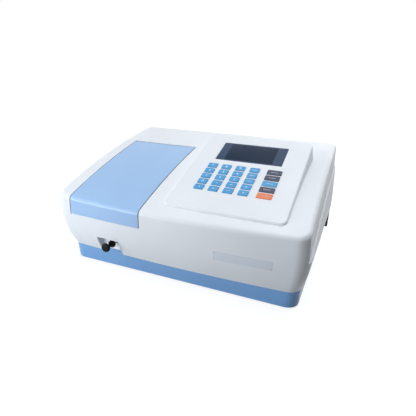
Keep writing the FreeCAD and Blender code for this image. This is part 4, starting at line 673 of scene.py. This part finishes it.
# Foam strip under the lid, above the chamber's rim: back along the left, across, and along the right.
# FOAM is its section, as (distance across, depth under the lid) corners
FOAM_LEFT, FOAM_RIGHT, FOAM_FRONT, FOAM_BACK = -203.0, -57.0, -150, 38
FOAM_SIDE_STEPS, FOAM_BACK_STEPS = 18, 14
UNDER_LID = 100
FOAM = [(-1.7, -0.1), (1.7, -0.1), (1.7, 1.9), (1.2, 2.3), (-1.2, 2.3), (-1.7, 1.9)]
side_rise = [(FOAM_BACK - FOAM_FRONT) * index / FOAM_SIDE_STEPS for index in range(FOAM_SIDE_STEPS + 1)]
strip = [(FOAM_LEFT, FOAM_FRONT + rise) for rise in side_rise]
strip += [(FOAM_LEFT + (FOAM_RIGHT - FOAM_LEFT) * index / FOAM_BACK_STEPS, FOAM_BACK)
          for index in range(1, FOAM_BACK_STEPS + 1)]
strip += [(FOAM_RIGHT, FOAM_BACK - rise) for rise in side_rise[1:]]
rows = []
for index, (x, y) in enumerate(strip):
    before = Vector(strip[max(index - 1, 0)])
    after = Vector(strip[min(index + 1, len(strip) - 1)])
    along = (after - before).normalized()
    side = Vector((-along.y, along.x))
    line = []
    for across, deep in FOAM:
        spot = Vector((x, y)) + side * across
        point, _out = land("sample_lid", (spot.x, spot.y, UNDER_LID), FROM_BELOW)
        line.append(point + Vector((0, 0, -deep * MM)))
    rows.append(line)
foam_look = moulded("foam_black", linear(30, 31, 34), rough=0.9, grain=0.0004, texture=1500.0, drift=0.15)
piece("lid_foam", swept("lid_foam", rows), "lid", foam_look)


# Lights, world, floor and camera

def area_light(name, place, aim, width, reach, power, colour=(0.94, 0.97, 1.0)):
    """A lamp with a rectangular face at a place, turned towards its aim."""
    data = bpy.data.lights.new(name, "AREA")
    data.shape = "RECTANGLE"
    data.size = width
    data.size_y = reach
    data.energy = power
    data.color = colour
    thing = bpy.data.objects.new(name, data)
    bpy.context.scene.collection.objects.link(thing)
    thing.location = place
    thing.rotation_mode = "QUATERNION"
    thing.rotation_quaternion = (Vector(aim) - Vector(place)).to_track_quat("-Z", "Y")


MIDDLE = (0, 0, 0.1)
area_light("key_light", (-1.2, -1.3, 0.9), MIDDLE, width=1.2, reach=1.1, power=9.8)
area_light("low_light", (-0.6, -0.9, 0.1), (-0.1, 0, -0.02), width=0.8, reach=0.18, power=5.4,
           colour=(0.90, 0.95, 1.0))
area_light("top_light", (0.15, 0.25, 2.2), MIDDLE, width=1.8, reach=1.8, power=33.0)
area_light("side_light", (1.0, 0.6, 1.9), (0.1, 0, 0.1), width=0.9, reach=0.9, power=4.0,
           colour=(0.86, 0.93, 1.0))
area_light("back_light", (0.3, 2.0, 0.7), MIDDLE, width=1.4, reach=0.8, power=9.0)


def backdrop_rays(tree):
    """One for the rays that look straight at a surface, or at it through gloss or glass."""
    path = tree.nodes.new("ShaderNodeLightPath")
    found = path.outputs["Is Camera Ray"]
    for name in ("Is Glossy Ray", "Is Transmission Ray"):
        either = tree.nodes.new("ShaderNodeMath")
        either.operation = "MAXIMUM"
        tree.links.new(found, either.inputs[0])
        tree.links.new(path.outputs[name], either.inputs[1])
        found = either.outputs[0]
    return found


# The world is white where it is seen, and dim and a little blue where it lights the object
world = bpy.data.worlds.new("studio")
bpy.context.scene.world = world
world.use_nodes = True
tree = world.node_tree
background = tree.nodes["Background"]
background.inputs["Color"].default_value = (0.90, 0.95, 1.0, 1.0)
background.inputs["Strength"].default_value = 0.10
plain = tree.nodes.new("ShaderNodeBackground")
plain.inputs["Color"].default_value = (1, 1, 1, 1)
plain.inputs["Strength"].default_value = 1.0
mix = tree.nodes.new("ShaderNodeMixShader")
tree.links.new(backdrop_rays(tree), mix.inputs[0])
tree.links.new(background.outputs[0], mix.inputs[1])
tree.links.new(plain.outputs[0], mix.inputs[2])
tree.links.new(mix.outputs[0], tree.nodes["World Output"].inputs["Surface"])

# The floor glows for the rays that see it and keeps its shadow; its glow is a little less near the object, a
# painted shade round it
FLOOR_REACH = 9
floor_mesh = bpy.data.meshes.new("floor")
floor_corners = [(x * FLOOR_REACH, y * FLOOR_REACH, 0) for x, y in ((-1, -1), (1, -1), (1, 1), (-1, 1))]
floor_mesh.from_pydata(floor_corners, [], [(0, 1, 2, 3)])
floor = bpy.data.objects.new("floor", floor_mesh)
bpy.context.scene.collection.objects.link(floor)
floor_look = Recipe("floor_white")
floor_look.shader.inputs["Roughness"].default_value = 0.9
floor_look.shader.inputs["Specular IOR Level"].default_value = 0.1
cloudy = floor_look.noise(3.0, detail=2.0)
floor_look.link(floor_look.tint(cloudy, (0.23, 0.24, 0.25, 1), (0.25, 0.25, 0.25, 1)),
                floor_look.shader.inputs["Base Color"])
floor_look.shader.inputs["Emission Color"].default_value = (1, 1, 1, 1)
away = floor_look.add("ShaderNodeVectorMath", operation="LENGTH")
floor_look.link(floor_look.place, away.inputs[0])
# Painted shade: the seen glow falls from 0.99 far off to 0.88 near the object
rise = floor_look.add("ShaderNodeMapRange")
for name, value in (("From Min", 0.4), ("From Max", 1.6), ("To Min", 0.88), ("To Max", 0.99)):
    rise.inputs[name].default_value = value
floor_look.link(away.outputs["Value"], rise.inputs["Value"])
paler = floor_look.add("ShaderNodeMath", operation="MULTIPLY")
floor_look.link(backdrop_rays(floor_look.tree), paler.inputs[0])
floor_look.link(rise.outputs["Result"], paler.inputs[1])
floor_look.link(paler.outputs[0], floor_look.shader.inputs["Emission Strength"])
floor_mesh.materials.append(floor_look.material)

# The photograph's camera: its lens, its place, and its directions right, down and ahead
camera_data = bpy.data.cameras.new("camera")
camera_data.lens = 32.07
camera_data.sensor_width = 36.0
camera_data.clip_start = 0.01
camera_data.clip_end = 50
camera = bpy.data.objects.new("camera", camera_data)
bpy.context.scene.collection.objects.link(camera)
place = Vector((0.28570, -0.69529, 0.36904))
right = Vector((0.92199, 0.38602, 0.03045))
down = Vector((0.15791, -0.30302, -0.93981))
ahead = Vector((-0.35355, 0.8713, -0.34034))
camera.matrix_world = Matrix((
    (right.x, -down.x, -ahead.x, place.x),
    (right.y, -down.y, -ahead.y, place.y),
    (right.z, -down.z, -ahead.z, place.z),
    (0, 0, 0, 1)))
bpy.context.scene.camera = camera
bpy.context.scene.view_settings.view_transform = "Standard"
